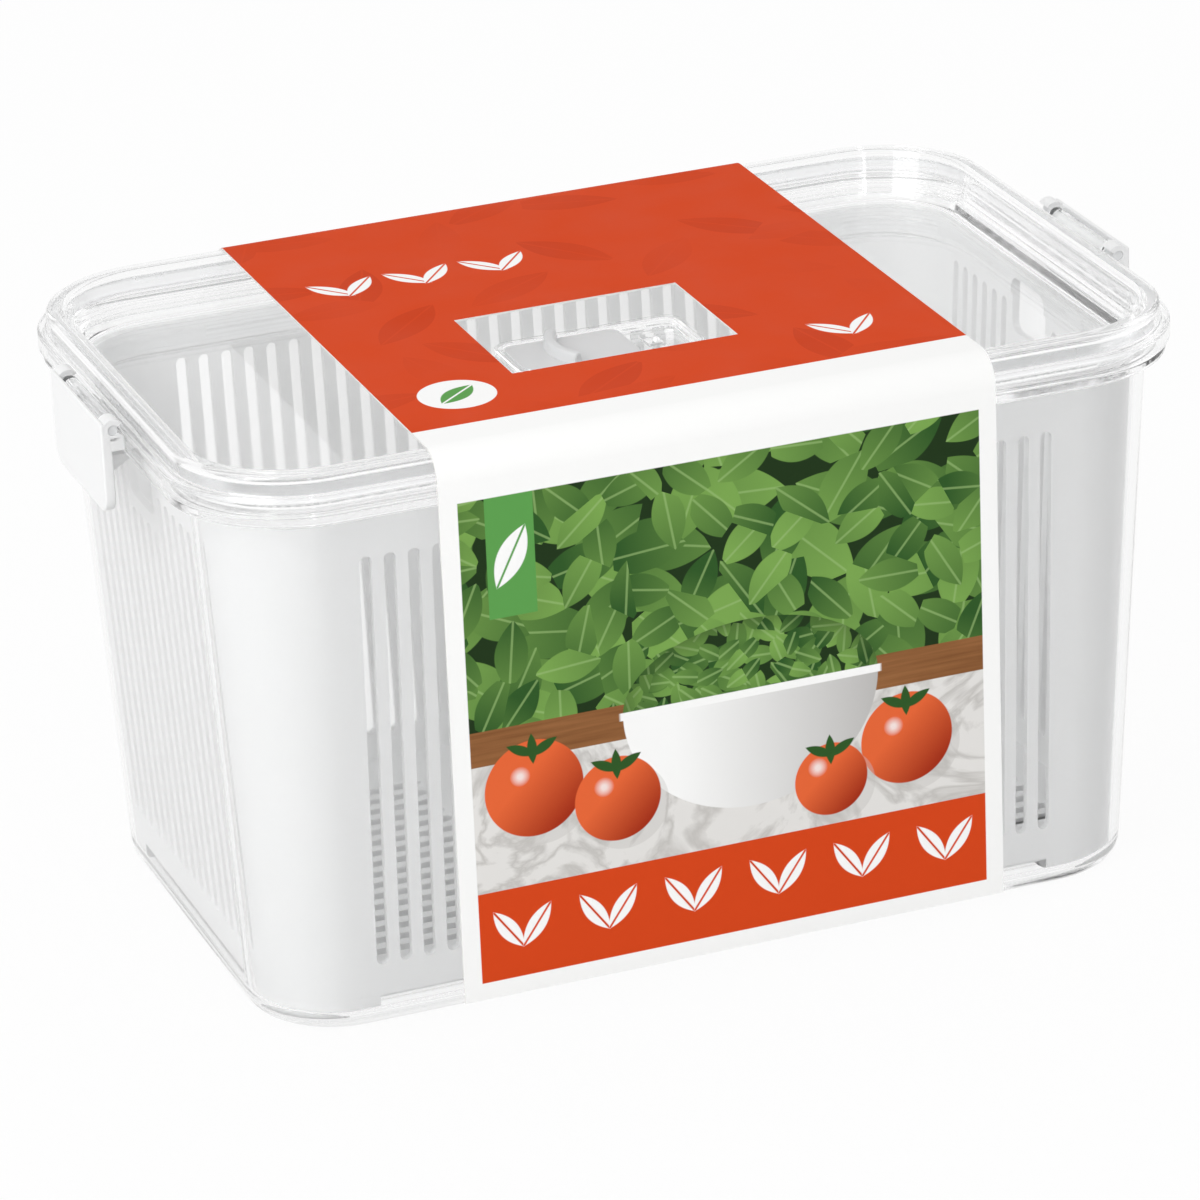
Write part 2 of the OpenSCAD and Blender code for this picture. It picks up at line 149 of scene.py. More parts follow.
def loft(bm: BMesh, rings: list[Edges], closed: bool = False) -> None:
    """Skins a row of loops.

    Args:
        bm: Mesh that holds the loops.
        rings: The loops in order, all with as many edges.
        closed: True joins the last loop to the first; otherwise both are capped.
    """
    pairs = list(zip(rings, rings[1:]))
    if closed:
        pairs.append((rings[-1], rings[0]))
    for lower, upper in pairs:
        bmesh.ops.bridge_loops(bm, edges=lower + upper)
    if not closed:
        for ring in (rings[0], rings[-1]):
            bmesh.ops.contextual_create(bm, geom=ring)


def soften(bm: BMesh, edges: Edges, radius: float, segments: int = 3) -> None:
    """Rounds edges of a mesh by a radius, with a number of steps across the rounding."""
    bmesh.ops.bevel(bm, geom=edges, offset=radius, offset_type="OFFSET", segments=segments, profile=0.5,
                    affect="EDGES", material=-1, clamp_overlap=True, loop_slide=True)


def rounded(levels: list[Level], closed: bool = False, steps: int = 4) -> list[Level]:
    """Draws the roundings of a section as arcs.

    Args:
        levels: Corners of the section in order.
        closed: True for a section that comes back to its start, False for one with a floor at both ends.
        steps: Steps along each arc.

    Returns:
        The section's points, without roundings of their own.
    """
    points = [Vector((level.reach, level.height)) for level in levels]
    inward = Vector((-50.0, 0.0))
    most = 0.48
    before = points[-1] if closed else points[0] + inward
    after = points[0] if closed else points[-1] + inward
    row = [before, *points, after]
    section = []
    for index, level in enumerate(levels):
        corner = points[index]
        if not level.rounding:
            section.append(level)
            continue
        back, ahead = row[index] - corner, row[index + 2] - corner
        half = back.angle(ahead) / 2
        cut = min(level.rounding / math.tan(half), most * back.length, most * ahead.length)
        middle = (back.normalized() + ahead.normalized()).normalized()
        centre = corner + middle * cut / math.cos(half)
        first = corner + back.normalized() * cut - centre
        last = corner + ahead.normalized() * cut - centre
        for step in range(steps + 1):
            arm = first.slerp(last, step / steps).normalized() * first.length
            section.append(Level(*(centre + arm)))
    return section


def sharp_edges(bm: BMesh, degrees: float = 50.0) -> Edges:
    """Returns the edges where two faces meet at more than an angle."""
    limit = math.radians(degrees)
    return [edge for edge in bm.edges if edge.is_manifold and edge.calc_face_angle(0.0) > limit]


def prism(bm: BMesh, outline: list[Vector], run: Vector) -> list[BMVert]:
    """Draws a closed solid from an outline and a straight run.

    Args:
        bm: Mesh to draw in.
        outline: Corners of the near face.
        run: From the near face to the far one.

    Returns:
        All its vertices.
    """
    near = [bm.verts.new(point) for point in outline]
    face = bm.faces.new(near)
    made = bmesh.ops.extrude_face_region(bm, geom=[face], use_keep_orig=True)["geom"]
    far = [item for item in made if isinstance(item, BMVert)]
    bmesh.ops.translate(bm, vec=run, verts=far)
    return near + far


def side_prism(bm: BMesh, outline: list[tuple[float, float]], low_y: float, high_y: float) -> list[BMVert]:
    """Draws a prism along Y from an outline in X and Z and returns its vertices."""
    points = [Vector((x, low_y, z)) for x, z in outline]
    return prism(bm, points, Vector((0, high_y - low_y, 0)))


def block(bm: BMesh, low: Point, high: Point) -> None:
    """Draws a block between two corners."""
    first, last = Vector(low), Vector(high)
    place = Matrix.Translation((first + last) / 2) @ Matrix.Diagonal((*(last - first), 1.0))
    bmesh.ops.create_cube(bm, size=1.0, matrix=place)


def rod(bm: BMesh, centre: Point, radius: float, length: float) -> None:
    """Draws a round bar along Y about a centre."""
    place = Matrix.Translation(centre) @ Matrix.Rotation(math.pi / 2, 4, "X")
    bmesh.ops.create_cone(bm, cap_ends=True, segments=24, radius1=radius, radius2=radius,
                          depth=length, matrix=place)


def slice_at(bm: BMesh, axis: int, places: list[float],
             chosen: Callable[[BMFace], bool] = lambda face: True) -> None:
    """Cuts faces along planes without parting them.

    Args:
        bm: Mesh to cut.
        axis: 0, 1 or 2 for planes across X, Y or Z.
        places: Where the planes lie on that axis.
        chosen: Says whether a face is cut.
    """
    normal = Vector((0, 0, 0))
    normal[axis] = 1.0
    for place in places:
        faces = [face for face in bm.faces if chosen(face)]
        edges = list(dict.fromkeys(edge for face in faces for edge in face.edges))
        verts = list(dict.fromkeys(vert for face in faces for vert in face.verts))
        bmesh.ops.bisect_plane(bm, geom=verts + edges + faces, dist=CUT_DIST, plane_co=normal * place,
                               plane_no=normal)


def pierce(bm: BMesh, faces: list[BMFace], margin: float, radius: float, segments: int = 4) -> None:
    """Opens a hole with round corners in each face.

    Args:
        bm: Mesh that holds the faces.
        faces: One face for each hole.
        margin: Solid border left round a hole.
        radius: Radius of the hole's corners.
        segments: Edges in each corner.
    """
    bmesh.ops.inset_individual(bm, faces=faces, thickness=margin, depth=0.0, use_even_offset=True)
    bend = math.radians(165)
    loops = [loop for face in faces for loop in face.loops]
    corners = [loop.vert for loop in loops if loop.calc_angle() < bend]
    straight = [loop.vert for loop in loops if loop.calc_angle() >= bend]
    bmesh.ops.delete(bm, geom=faces, context="FACES_ONLY")
    bmesh.ops.dissolve_verts(bm, verts=straight)
    bmesh.ops.bevel(bm, geom=corners, offset=radius, offset_type="ABSOLUTE", segments=segments, profile=0.5,
                    affect="VERTICES", material=-1, clamp_overlap=True)
    spare = [vert for vert in bm.verts if not vert.link_faces]
    bmesh.ops.delete(bm, geom=spare, context="VERTS")


def face_out(bm: BMesh) -> None:
    """Merges doubles and turns all faces outwards."""
    bmesh.ops.remove_doubles(bm, verts=bm.verts, dist=MERGE_DIST)
    bmesh.ops.recalc_face_normals(bm, faces=bm.faces)


def faces_in(bm: BMesh, chosen: Callable[[BMFace], bool], low: tuple[float, float],
             high: tuple[float, float]) -> list[BMFace]:
    """Returns the faces in a level rectangle.

    Args:
        bm: Mesh that holds the faces.
        chosen: Says whether a face counts.
        low: The rectangle's corner with the lowest X and Y.
        high: Its opposite corner.

    Returns:
        The chosen faces with their middles inside.
    """
    inner = []
    for face in filter(chosen, bm.faces):
        middle = face.calc_center_median()
        if low[0] < middle.x < high[0] and low[1] < middle.y < high[1]:
            inner.append(face)
    return inner


def spin(bm: BMesh, outline: list[Vector], centre: Vector, axis: str, turns: tuple[float, float],
         steps: int) -> None:
    """Draws a solid from an outline that is spun about an axis.

    Args:
        bm: Mesh to draw in.
        outline: Corners of the outline before any turn.
        centre: A point of the axis.
        axis: X, Y or Z.
        turns: Turn to the start and turn from there to the end, in radians.
        steps: Steps along the way.
    """
    start, sweep = turns
    verts = [bm.verts.new(point) for point in outline]
    face = bm.faces.new(verts)
    bmesh.ops.rotate(bm, cent=centre, matrix=Matrix.Rotation(start, 3, axis), verts=verts)
    line = Vector([float(name == axis) for name in "XYZ"])
    bmesh.ops.spin(bm, geom=[face] + face.edges[:] + verts, cent=centre, axis=line, angle=sweep, steps=steps,
                   use_merge=False)
    face_out(bm)


def to_mesh(bm: BMesh, name: str) -> bpy.types.Mesh:
    """Turns a mesh being edited into mesh data and frees it."""
    mesh = bpy.data.meshes.new(name)
    bm.to_mesh(mesh)
    bm.free()
    return mesh


def join(bm: BMesh, part: BMesh) -> None:
    """Adds a second mesh to a first and frees it."""
    mesh = to_mesh(part, "joined")
    bm.from_mesh(mesh)
    bpy.data.meshes.remove(mesh)


def flip(bm: BMesh, end: End) -> None:
    """Puts a mesh made for the right end on an end, facing outwards."""
    bmesh.ops.scale(bm, vec=Vector((end.value, 1, 1)), verts=bm.verts)
    face_out(bm)


def add_object(name: str, data: bpy.types.ID) -> bpy.types.Object:
    """Adds an object to the scene and returns it."""
    made = bpy.data.objects.new(name, data)
    bpy.context.scene.collection.objects.link(made)
    return made


def finish_piece(bm: BMesh, name: str, body: str, node: str,
                 materials: list[Material]) -> bpy.types.Object:
    """Turns a mesh in millimetres into a piece of the object.

    Args:
        bm: Finished mesh, which is freed.
        name: Name of the piece.
        body: Body that it moves with.
        node: CAD node that it stands for.
        materials: Materials in the order of the faces' indices.

    Returns:
        The new object.
    """
    bmesh.ops.scale(bm, vec=Vector((MM, MM, MM)), verts=bm.verts)
    for face in bm.faces:
        face.smooth = True
    for edge in bm.edges:
        edge.smooth = edge.is_manifold and edge.calc_face_angle(0.0) < CREASE
    mesh = to_mesh(bm, name)
    for material in materials:
        mesh.materials.append(material)
    piece = add_object(name, mesh)
    even = piece.modifiers.new("even_normals", "WEIGHTED_NORMAL")
    even.keep_sharp = True
    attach(piece, body)
    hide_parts(node)
    LOG.info("%s: %d faces on body %s", name, len(mesh.polygons), body)
    return piece


# Node helpers


class Board:
    """Adds nodes to one node tree and joins them."""

    def __init__(self, tree: NodeTree) -> None:
        """Holds the tree that nodes are added to."""
        self.tree = tree

    def add(self, kind: str, inputs: dict[str | int, Value] | None = None,
            **settings: object) -> bpy.types.Node:
        """Adds a node.

        Args:
            kind: Node type.
            inputs: Socket name or number to a value or an output socket.
            **settings: Properties of the node.

        Returns:
            The new node.
        """
        node = self.tree.nodes.new(kind)
        for key, value in settings.items():
            setattr(node, key, value)
        for key, value in (inputs or {}).items():
            self.feed(node.inputs[key], value)
        return node

    def feed(self, socket: Socket, value: Value) -> None:
        """Links an output to a socket, or sets the socket's value."""
        if isinstance(value, Socket):
            self.tree.links.new(value, socket)
        else:
            socket.default_value = value

    def math(self, operation: str, *values: Value) -> Socket:
        """Adds a Math node and returns its value."""
        return self.add("ShaderNodeMath", dict(enumerate(values)), operation=operation).outputs[0]

    def vector(self, operation: str, *values: Value) -> Socket:
        """Adds a Vector Math node and returns its vector."""
        return self.add("ShaderNodeVectorMath", dict(enumerate(values)), operation=operation).outputs[0]

    def length(self, vector: Value) -> Socket:
        """Adds a node that measures a vector and returns its length."""
        return self.add("ShaderNodeVectorMath", {0: vector}, operation="LENGTH").outputs["Value"]

    def mix(self, factor: Value, first: Value, second: Value) -> Socket:
        """Adds a colour mix and returns its colour."""
        return self.add("ShaderNodeMix", {0: factor, 6: first, 7: second}, data_type="RGBA").outputs[2]

    def spread(self, value: Value, low: Value, high: Value, to_low: Value = 0.0,
               to_high: Value = 1.0) -> Socket:
        """Maps a value from one range to another, clamped, and returns it."""
        return self.add("ShaderNodeMapRange", {0: value, 1: low, 2: high, 3: to_low, 4: to_high}).outputs[0]

    def above(self, value: Value, limit: float, blur: float = 0.1) -> Socket:
        """Returns a mask that is 1 where a value lies over a limit."""
        return self.spread(value, limit - blur, limit + blur)

    def below(self, value: Value, limit: float, blur: float = 0.1) -> Socket:
        """Returns a mask that is 1 where a value lies under a limit."""
        return self.spread(value, limit - blur, limit + blur, 1.0, 0.0)

    def within(self, value: Value, low: float, high: float, blur: float = 0.1) -> Socket:
        """Returns a mask that is 1 where a value lies between two limits."""
        return self.math("MULTIPLY", self.above(value, low, blur), self.below(value, high, blur))

    def noise(self, place: Value, scale: Value, detail: float = 2.0, distortion: float = 0.0) -> Socket:
        """Adds a noise texture and returns its value."""
        inputs = {"Vector": place, "Scale": scale, "Detail": detail, "Distortion": distortion}
        return self.add("ShaderNodeTexNoise", inputs).outputs["Fac"]

    def group(self, tree: NodeTree, **inputs: Value) -> bpy.types.bpy_prop_collection:
        """Places a node group, feeds its inputs by name and returns its outputs."""
        return self.add("ShaderNodeGroup", inputs, node_tree=tree).outputs


def new_group(name: str, inputs: dict[str, object], outputs: list[str]) -> tuple[NodeTree, Board, dict, dict]:
    """Starts a shader node group.

    Args:
        name: Name of the group.
        inputs: Default of each input, or None for a vector that is always linked.
        outputs: Names of the outputs, which are plain values.

    Returns:
        The group, its board, its input sockets and its output sockets by name.
    """
    tree = bpy.data.node_groups.new(name, "ShaderNodeTree")
    for title, default in inputs.items():
        kind = "NodeSocketFloat" if isinstance(default, float) else "NodeSocketVector"
        socket = tree.interface.new_socket(title, in_out="INPUT", socket_type=kind)
        if default is not None:
            socket.default_value = default
    for title in outputs:
        tree.interface.new_socket(title, in_out="OUTPUT", socket_type="NodeSocketFloat")
    board = Board(tree)
    given = board.add("NodeGroupInput")
    result = board.add("NodeGroupOutput")
    return (tree, board, {title: given.outputs[title] for title in inputs},
            {title: result.inputs[title] for title in outputs})


def moulded_group() -> NodeTree:
    """Returns the group for the fine unevenness of a moulded or coated surface."""
    tree, board, given, result = new_group(
        "moulded_surface", {"Place": None, "Grain": 900.0, "Flow": 25.0, "Smooth": 0.2, "Rough": 0.3},
        ["Roughness", "Height", "Shade"])
    grain = board.noise(given["Place"], given["Grain"])
    flow = board.noise(given["Place"], given["Flow"], 3.0)
    board.feed(result["Roughness"], board.spread(flow, 0.3, 0.7, given["Smooth"], given["Rough"]))
    board.feed(result["Height"], board.math("MULTIPLY_ADD", grain, 0.25, flow))
    board.feed(result["Shade"], flow)
    return tree


def leaf_group() -> NodeTree:
    """Returns the group that draws one pointed leaf on a flat print, in millimetres."""
    tree, board, given, result = new_group(
        "leaf_mark", {"Place": None, "Centre": (0.0, 0.0, 0.0), "Turn": 0.0, "Length": 20.0, "Width": 9.0},
        ["Leaf", "Rib", "Along"])
    offset = board.vector("SUBTRACT", given["Place"], given["Centre"])
    turned = board.add("ShaderNodeVectorRotate", {"Vector": offset, "Angle": given["Turn"]},
                       rotation_type="Z_AXIS")
    local = board.add("ShaderNodeSeparateXYZ", {0: turned.outputs[0]})
    along = board.math("DIVIDE", board.math("MULTIPLY", local.outputs[0], 2.0), given["Length"])
    bulge = board.math("SUBTRACT", 1.0, board.math("MULTIPLY", along, along))
    half = board.math("MULTIPLY", board.math("MULTIPLY", bulge, given["Width"]), 0.5)
    side = board.math("ABSOLUTE", local.outputs[1])
    leaf = board.spread(board.math("SUBTRACT", half, side), *INK_EDGE)
    rib = board.spread(side, 0.15, 0.4, 1.0, 0.0)
    board.feed(result["Leaf"], leaf)
    board.feed(result["Rib"], board.math("MULTIPLY", leaf, rib))
    board.feed(result["Along"], along)
    return tree


def foliage_group(leaf: NodeTree) -> NodeTree:
    """Returns the group that strews leaves over a flat print, one to a cell.

    Args:
        leaf: The group for one leaf.

    Returns:
        The group.
    """
    tree, board, given, result = new_group(
        "foliage", {"Place": None, "Cell": 16.0, "Length": 20.0, "Width": 9.0}, ["Leaf", "Rib", "Tone"])
    cells = board.add("ShaderNodeTexVoronoi", {"Vector": given["Place"],
                                               "Scale": board.math("DIVIDE", 1.0, given["Cell"])},
                      voronoi_dimensions="2D")
    random = board.add("ShaderNodeSeparateColor", {0: cells.outputs["Color"]})
    turn = board.math("MULTIPLY", random.outputs[0], 2 * math.pi)
    mark = board.group(leaf, Place=given["Place"], Centre=cells.outputs["Position"], Turn=turn,
                       Length=given["Length"], Width=given["Width"])
    lit = board.math("MULTIPLY_ADD", mark["Along"], 0.25, random.outputs[1])
    board.feed(result["Leaf"], mark["Leaf"])
    board.feed(result["Rib"], mark["Rib"])
    board.feed(result["Tone"], lit)
    return tree


def disc_group() -> NodeTree:
    """Returns the group that draws one shaded round fruit on a flat print, in millimetres."""
    tree, board, given, result = new_group(
        "round_fruit", {"Place": None, "Centre": (0.0, 0.0, 0.0), "Radius": 10.0}, ["Disc", "Shade", "Glint"])
    offset = board.vector("SUBTRACT", given["Place"], given["Centre"])
    disc = board.spread(board.math("SUBTRACT", given["Radius"], board.length(offset)), *INK_EDGE)
    local = board.add("ShaderNodeSeparateXYZ", {0: offset})
    slope = board.math("SUBTRACT", local.outputs[0], local.outputs[1])
    shade = board.spread(board.math("DIVIDE", slope, given["Radius"]), -0.4, 1.4)
    glint = board.length(board.vector("ADD", offset, (3.4, -3.6, 0.0)))
    board.feed(result["Disc"], disc)
    board.feed(result["Shade"], shade)
    board.feed(result["Glint"], board.spread(glint, 0.6, 2.6, 0.75, 0.0))
    return tree


# Finishes


def new_material(name: str) -> tuple[Material, Board]:
    """Starts a material and returns it with the board of its nodes."""
    material = bpy.data.materials.new(name)
    material.use_nodes = True
    return material, Board(material.node_tree)


def pass_light(board: Board, share: Socket, tint: Color = WHITE) -> None:
    """Lets light through a piece, so that what is behind it is lit.

    Args:
        board: Board of the piece's material.
        share: How much of a ray passes.
        tint: Colour of what passes.
    """
    nodes = board.tree.nodes
    clear = board.add("ShaderNodeBsdfTransparent", {"Color": tint})
    mixed = board.add("ShaderNodeMixShader", {0: share, 1: nodes["Principled BSDF"].outputs[0],
                                              2: clear.outputs[0]})
    board.feed(nodes["Material Output"].inputs["Surface"], mixed.outputs[0])


def sheer_rays(board: Board, share: float, inside: Socket | float) -> Socket:
    """Returns how much of a ray passes a thin, pale card.

    Args:
        board: Board of the card's material.
        share: Share of the light that passes.
        inside: Share for a look at the inner side through something clear.

    Returns:
        The share.
    """
    path = board.add("ShaderNodeLightPath").outputs
    light = board.math("MAXIMUM", path["Is Shadow Ray"], path["Is Diffuse Ray"])
    look = board.math("MULTIPLY", path["Is Transmission Ray"], inside)
    return board.math("MAXIMUM", board.math("MULTIPLY", light, share), look)


@dataclass(frozen=True)
class Texture:
    """Fine unevenness of a surface: its roughness from smooth to rough, its grain and its slow flow."""

    smooth: float
    rough: float
    grain: float = 900.0
    flow: float = 25.0
    bump: float = 0.05

    def lay(self, board: Board, shader: bpy.types.Node, surface: NodeTree) -> Socket:
        """Feeds a shader's roughness and normal.

        Args:
            board: Board of the material.
            shader: Shader to feed.
            surface: The group for a moulded or coated surface.

        Returns:
            The flow, which can also shade the colour.
        """
        place = board.add("ShaderNodeTexCoord").outputs["Object"]
        moulded = board.group(surface, Place=place, Grain=self.grain, Flow=self.flow, Smooth=self.smooth,
                              Rough=self.rough)
        bump = board.add("ShaderNodeBump", {"Strength": self.bump, "Distance": MM,
                                            "Height": moulded["Height"]})
        board.feed(shader.inputs["Roughness"], moulded["Roughness"])
        board.feed(shader.inputs["Normal"], bump.outputs[0])
        return moulded["Shade"]


@dataclass(frozen=True)
class Moulding:
    """Finish of a moulded piece, plain or clear."""

    name: str
    color: Color
    shade: Color
    texture: Texture
    ior: float = 1.5
    transmission: float = 0.0
    lamp_tint: Color = (0.975, 0.978, 0.978, 1.0)
    sheer: float = 0.0

    def material(self, surface: NodeTree) -> Material:
        """Builds the material.

        Args:
            surface: The group for a moulded surface.

        Returns:
            The new material.
        """
        material, board = new_material(self.name)
        shader = material.node_tree.nodes["Principled BSDF"]
        flow = self.texture.lay(board, shader, surface)
        board.feed(shader.inputs["Base Color"], board.mix(flow, self.color, self.shade))
        shader.inputs["IOR"].default_value = self.ior
        shader.inputs["Transmission Weight"].default_value = self.transmission
        if self.transmission > 0:
            path = board.add("ShaderNodeLightPath")
            pass_light(board, path.outputs["Is Shadow Ray"], self.lamp_tint)
        if self.sheer > 0:
            pass_light(board, sheer_rays(board, self.sheer, self.sheer))
        return material


class Sheet(Board):
    """Board of the printed card: places on it in millimetres, and the marks that are drawn there."""

    def __init__(self, tree: NodeTree) -> None:
        """Finds the places and makes the groups for the marks.

        Args:
            tree: Node tree of the card's material.
        """
        super().__init__(tree)
        place = self.add("ShaderNodeTexCoord").outputs["Object"]
        axes = self.add("ShaderNodeSeparateXYZ", {0: self.vector("MULTIPLY", place, (1 / MM,) * 3)})
        self.x, self.y, self.z = axes.outputs
        self.upright = self.flat(self.x, self.z)
        self.level = self.flat(self.x, self.y)
        self.leaf_tree = leaf_group()
        self.foliage_tree = foliage_group(self.leaf_tree)
        self.disc_tree = disc_group()

    def flat(self, across: Socket, up: Socket) -> Socket:
        """Returns a flat place from two lengths."""
        return self.add("ShaderNodeCombineXYZ", {0: across, 1: up}).outputs[0]

    def leaf(self, place: Socket, under: Value, inks: tuple[Color, Color], **mark: Value) -> Socket:
        """Lays one leaf over a colour.

        Args:
            place: Flat place.
            under: Colour under the leaf.
            inks: Colours of the leaf and of its rib.
            **mark: Centre, Turn, Length and Width of the leaf.

        Returns:
            The new colour.
        """
        drawn = self.group(self.leaf_tree, Place=place, **mark)
        color = self.mix(drawn["Leaf"], under, inks[0])
        return self.mix(drawn["Rib"], color, inks[1])

    def strew(self, place: Socket, under: Value, sizes: Point, inks: tuple[Color, Color, Color]) -> Socket:
        """Lays one layer of leaves over a colour.

        Args:
            place: Flat place.
            under: Colour under the leaves.
            sizes: Mean distance between leaves, and a leaf's length and width.
            inks: Colours of the darkest leaf, of the lightest one and of the ribs.

        Returns:
            The new colour.
        """
        rib_share = 0.55
        leaves = self.group(self.foliage_tree, Place=place, Cell=sizes[0], Length=sizes[1], Width=sizes[2])
        tint = self.mix(leaves["Tone"], inks[0], inks[1])
        tint = self.mix(self.math("MULTIPLY", leaves["Rib"], rib_share), tint, inks[2])
        return self.mix(leaves["Leaf"], under, tint)


@dataclass(frozen=True)
class Print:
    """Printed face of the card: a made-up kitchen still life, an orange-red cover and a leafy back."""

    name: str = "card_print"
    sheer: float = 0.94
    shine: float = 0.02
    texture: Texture = Texture(0.42, 0.55, grain=2600.0, flow=60.0, bump=0.04)
    orange: Color = srgb("D8491F")
    deep_orange: Color = srgb("C43B14")
    paper: Color = srgb("FDFDFC")
    green: Color = srgb("5FA052")
    dark_green: Color = srgb("25391F")
    leaf_low: Color = srgb("335A2B")
    leaf_high: Color = srgb("7CA753")
    rib: Color = srgb("9BBE78")
    wood_low: Color = srgb("6E4426")
    wood_high: Color = srgb("A8744A")
    marble: Color = srgb("E6E4E1")
    vein: Color = srgb("C2BFBB")
    bowl_low: Color = srgb("B9B7B5")
    fruit_low: Color = srgb("A3301A")
    fruit_high: Color = srgb("E8693B")
    crease_z: float = 139.1
    field_x: tuple[float, float] = (-67.5, 64.5)
    field_z: tuple[float, float] = (13.5, 137.5)
    table_z: float = 70.0
    shelf_h: float = 9.0
    leaf_size: float = 19.0
    band_z: float = 37.0
    band_pitch: float = 22.0
    tab_x: tuple[float, float] = (-61.0, -49.0)
    tab_z: float = 107.0
    tab_leaf: Point = (-55.0, 122.0, 0.0)
    fruits: tuple[Point, ...] = (
        (-52.0, 62.0, 12.5), (-31.0, 55.0, 11.0), (44.0, 56.0, 12.0), (24.0, 49.0, 9.5))
    cover_y: float = -67.0
    sprigs: tuple[tuple[float, float], ...] = ((-54.0, 34.0), (-34.0, 34.0), (-14.0, 34.0), (46.0, -48.0))
    badge: Point = (-54.0, -48.0, 0.0)
    badge_r: float = 9.5
    hind_z: float = 74.0

    def material(self, surface: NodeTree) -> Material:
        """Builds the material.

        Args:
            surface: The group for a coated surface.

        Returns:
            The new material.
        """
        material, board = new_material(self.name)
        shader = material.node_tree.nodes["Principled BSDF"]
        sheet = Sheet(board.tree)
        front = sheet.below(sheet.y, 0.0, 0.5)
        over = sheet.above(sheet.z, self.crease_z)
        field = sheet.math("MULTIPLY", sheet.within(sheet.x, *self.field_x), front)
        field = sheet.math("MULTIPLY", field, sheet.within(sheet.z, *self.field_z))
        color = sheet.mix(field, self.paper, self.picture(sheet))
        cover = sheet.math("MULTIPLY", sheet.above(sheet.y, self.cover_y), over)
        color = sheet.mix(cover, color, self.cover(sheet))
        back, under = (sheet.math("SUBTRACT", 1.0, mask) for mask in (front, over))
        color = sheet.mix(sheet.math("MULTIPLY", back, under), color, self.hind(sheet))
        sheet.feed(shader.inputs["Base Color"], color)
        shader.inputs["Specular IOR Level"].default_value = self.shine
        self.texture.lay(sheet, shader, surface)
        inside = sheet.add("ShaderNodeNewGeometry").outputs["Backfacing"]
        pass_light(sheet, sheer_rays(sheet, self.sheer, inside))
        return material

    def greens(self, sheet: Sheet, place: Socket, size: float) -> Socket:
        """Returns the colour of piled leaves of about a size.

        Args:
            sheet: Board of the card.
            place: Flat place.
            size: Mean distance between the largest leaves.

        Returns:
            The colour.
        """
        color: Value = self.dark_green
        length, width = 1.5, 0.72
        for share, shift in ((1.0, 0.0), (0.8, 37.0), (0.62, 71.0)):
            moved = sheet.vector("ADD", place, (shift, shift, 0.0))
            sizes = (size * share, length * size * share, width * size * share)
            color = sheet.strew(moved, color, sizes, (self.leaf_low, self.leaf_high, self.rib))
        return color

    def sprig(self, sheet: Sheet, place: Socket, under: Value, arms: tuple[float, float, float, float],
              **size: Value) -> Socket:
        """Lays a pair of white leaves over orange-red.

        Args:
            sheet: Board of the card.
            place: Flat place.
            under: Colour under the leaves.
            arms: Middle of the pair, distance from there to each leaf's middle, and turn of a leaf.
            **size: Length and Width of a leaf.

        Returns:
            The new colour.
        """
        across, up, reach, turn = arms
        for side in (-1, 1):
            size |= {"Centre": (across + side * reach, up, 0.0), "Turn": -side * turn}
            under = sheet.leaf(place, under, (self.paper, self.orange), **size)
        return under

    def picture(self, sheet: Sheet) -> Socket:
        """Returns the colour of the front: leaves, a wooden shelf, a bowl and fruits on a pale table.

        Args:
            sheet: Board of the card.

        Returns:
            The colour.
        """
        place = sheet.upright
        vein_w, vein_share = 0.06, 0.85
        wood_grain = (0.04, 0.9, 1.0)
        veins = sheet.math("SUBTRACT", sheet.noise(place, scale=0.035, detail=5.0, distortion=1.6), 0.5)
        vein = sheet.spread(sheet.math("ABSOLUTE", veins), 0.0, vein_w, vein_share, 0.0)
        color = sheet.mix(vein, self.marble, self.vein)
        stretched = sheet.vector("MULTIPLY", place, wood_grain)
        wood = sheet.mix(sheet.noise(stretched, scale=1.0, detail=4.0), self.wood_low, self.wood_high)
        color = sheet.mix(sheet.above(sheet.z, self.table_z), color, wood)
        greens = self.greens(sheet, place, self.leaf_size)
        color = sheet.mix(sheet.above(sheet.z, self.table_z + self.shelf_h), color, greens)
        color = self.bowl(sheet, color)
        for fruit in self.fruits:
            color = self.fruit(sheet, color, *fruit)
        color = sheet.mix(sheet.below(sheet.z, self.band_z), color, self.frieze(sheet))
        tab = sheet.math("MULTIPLY", sheet.within(sheet.x, *self.tab_x), sheet.above(sheet.z, self.tab_z))
        marked = sheet.leaf(place, self.green, (self.paper, self.green), Centre=self.tab_leaf, Turn=-1.1,
                            Length=17.0, Width=7.0)
        return sheet.mix(tab, color, marked)

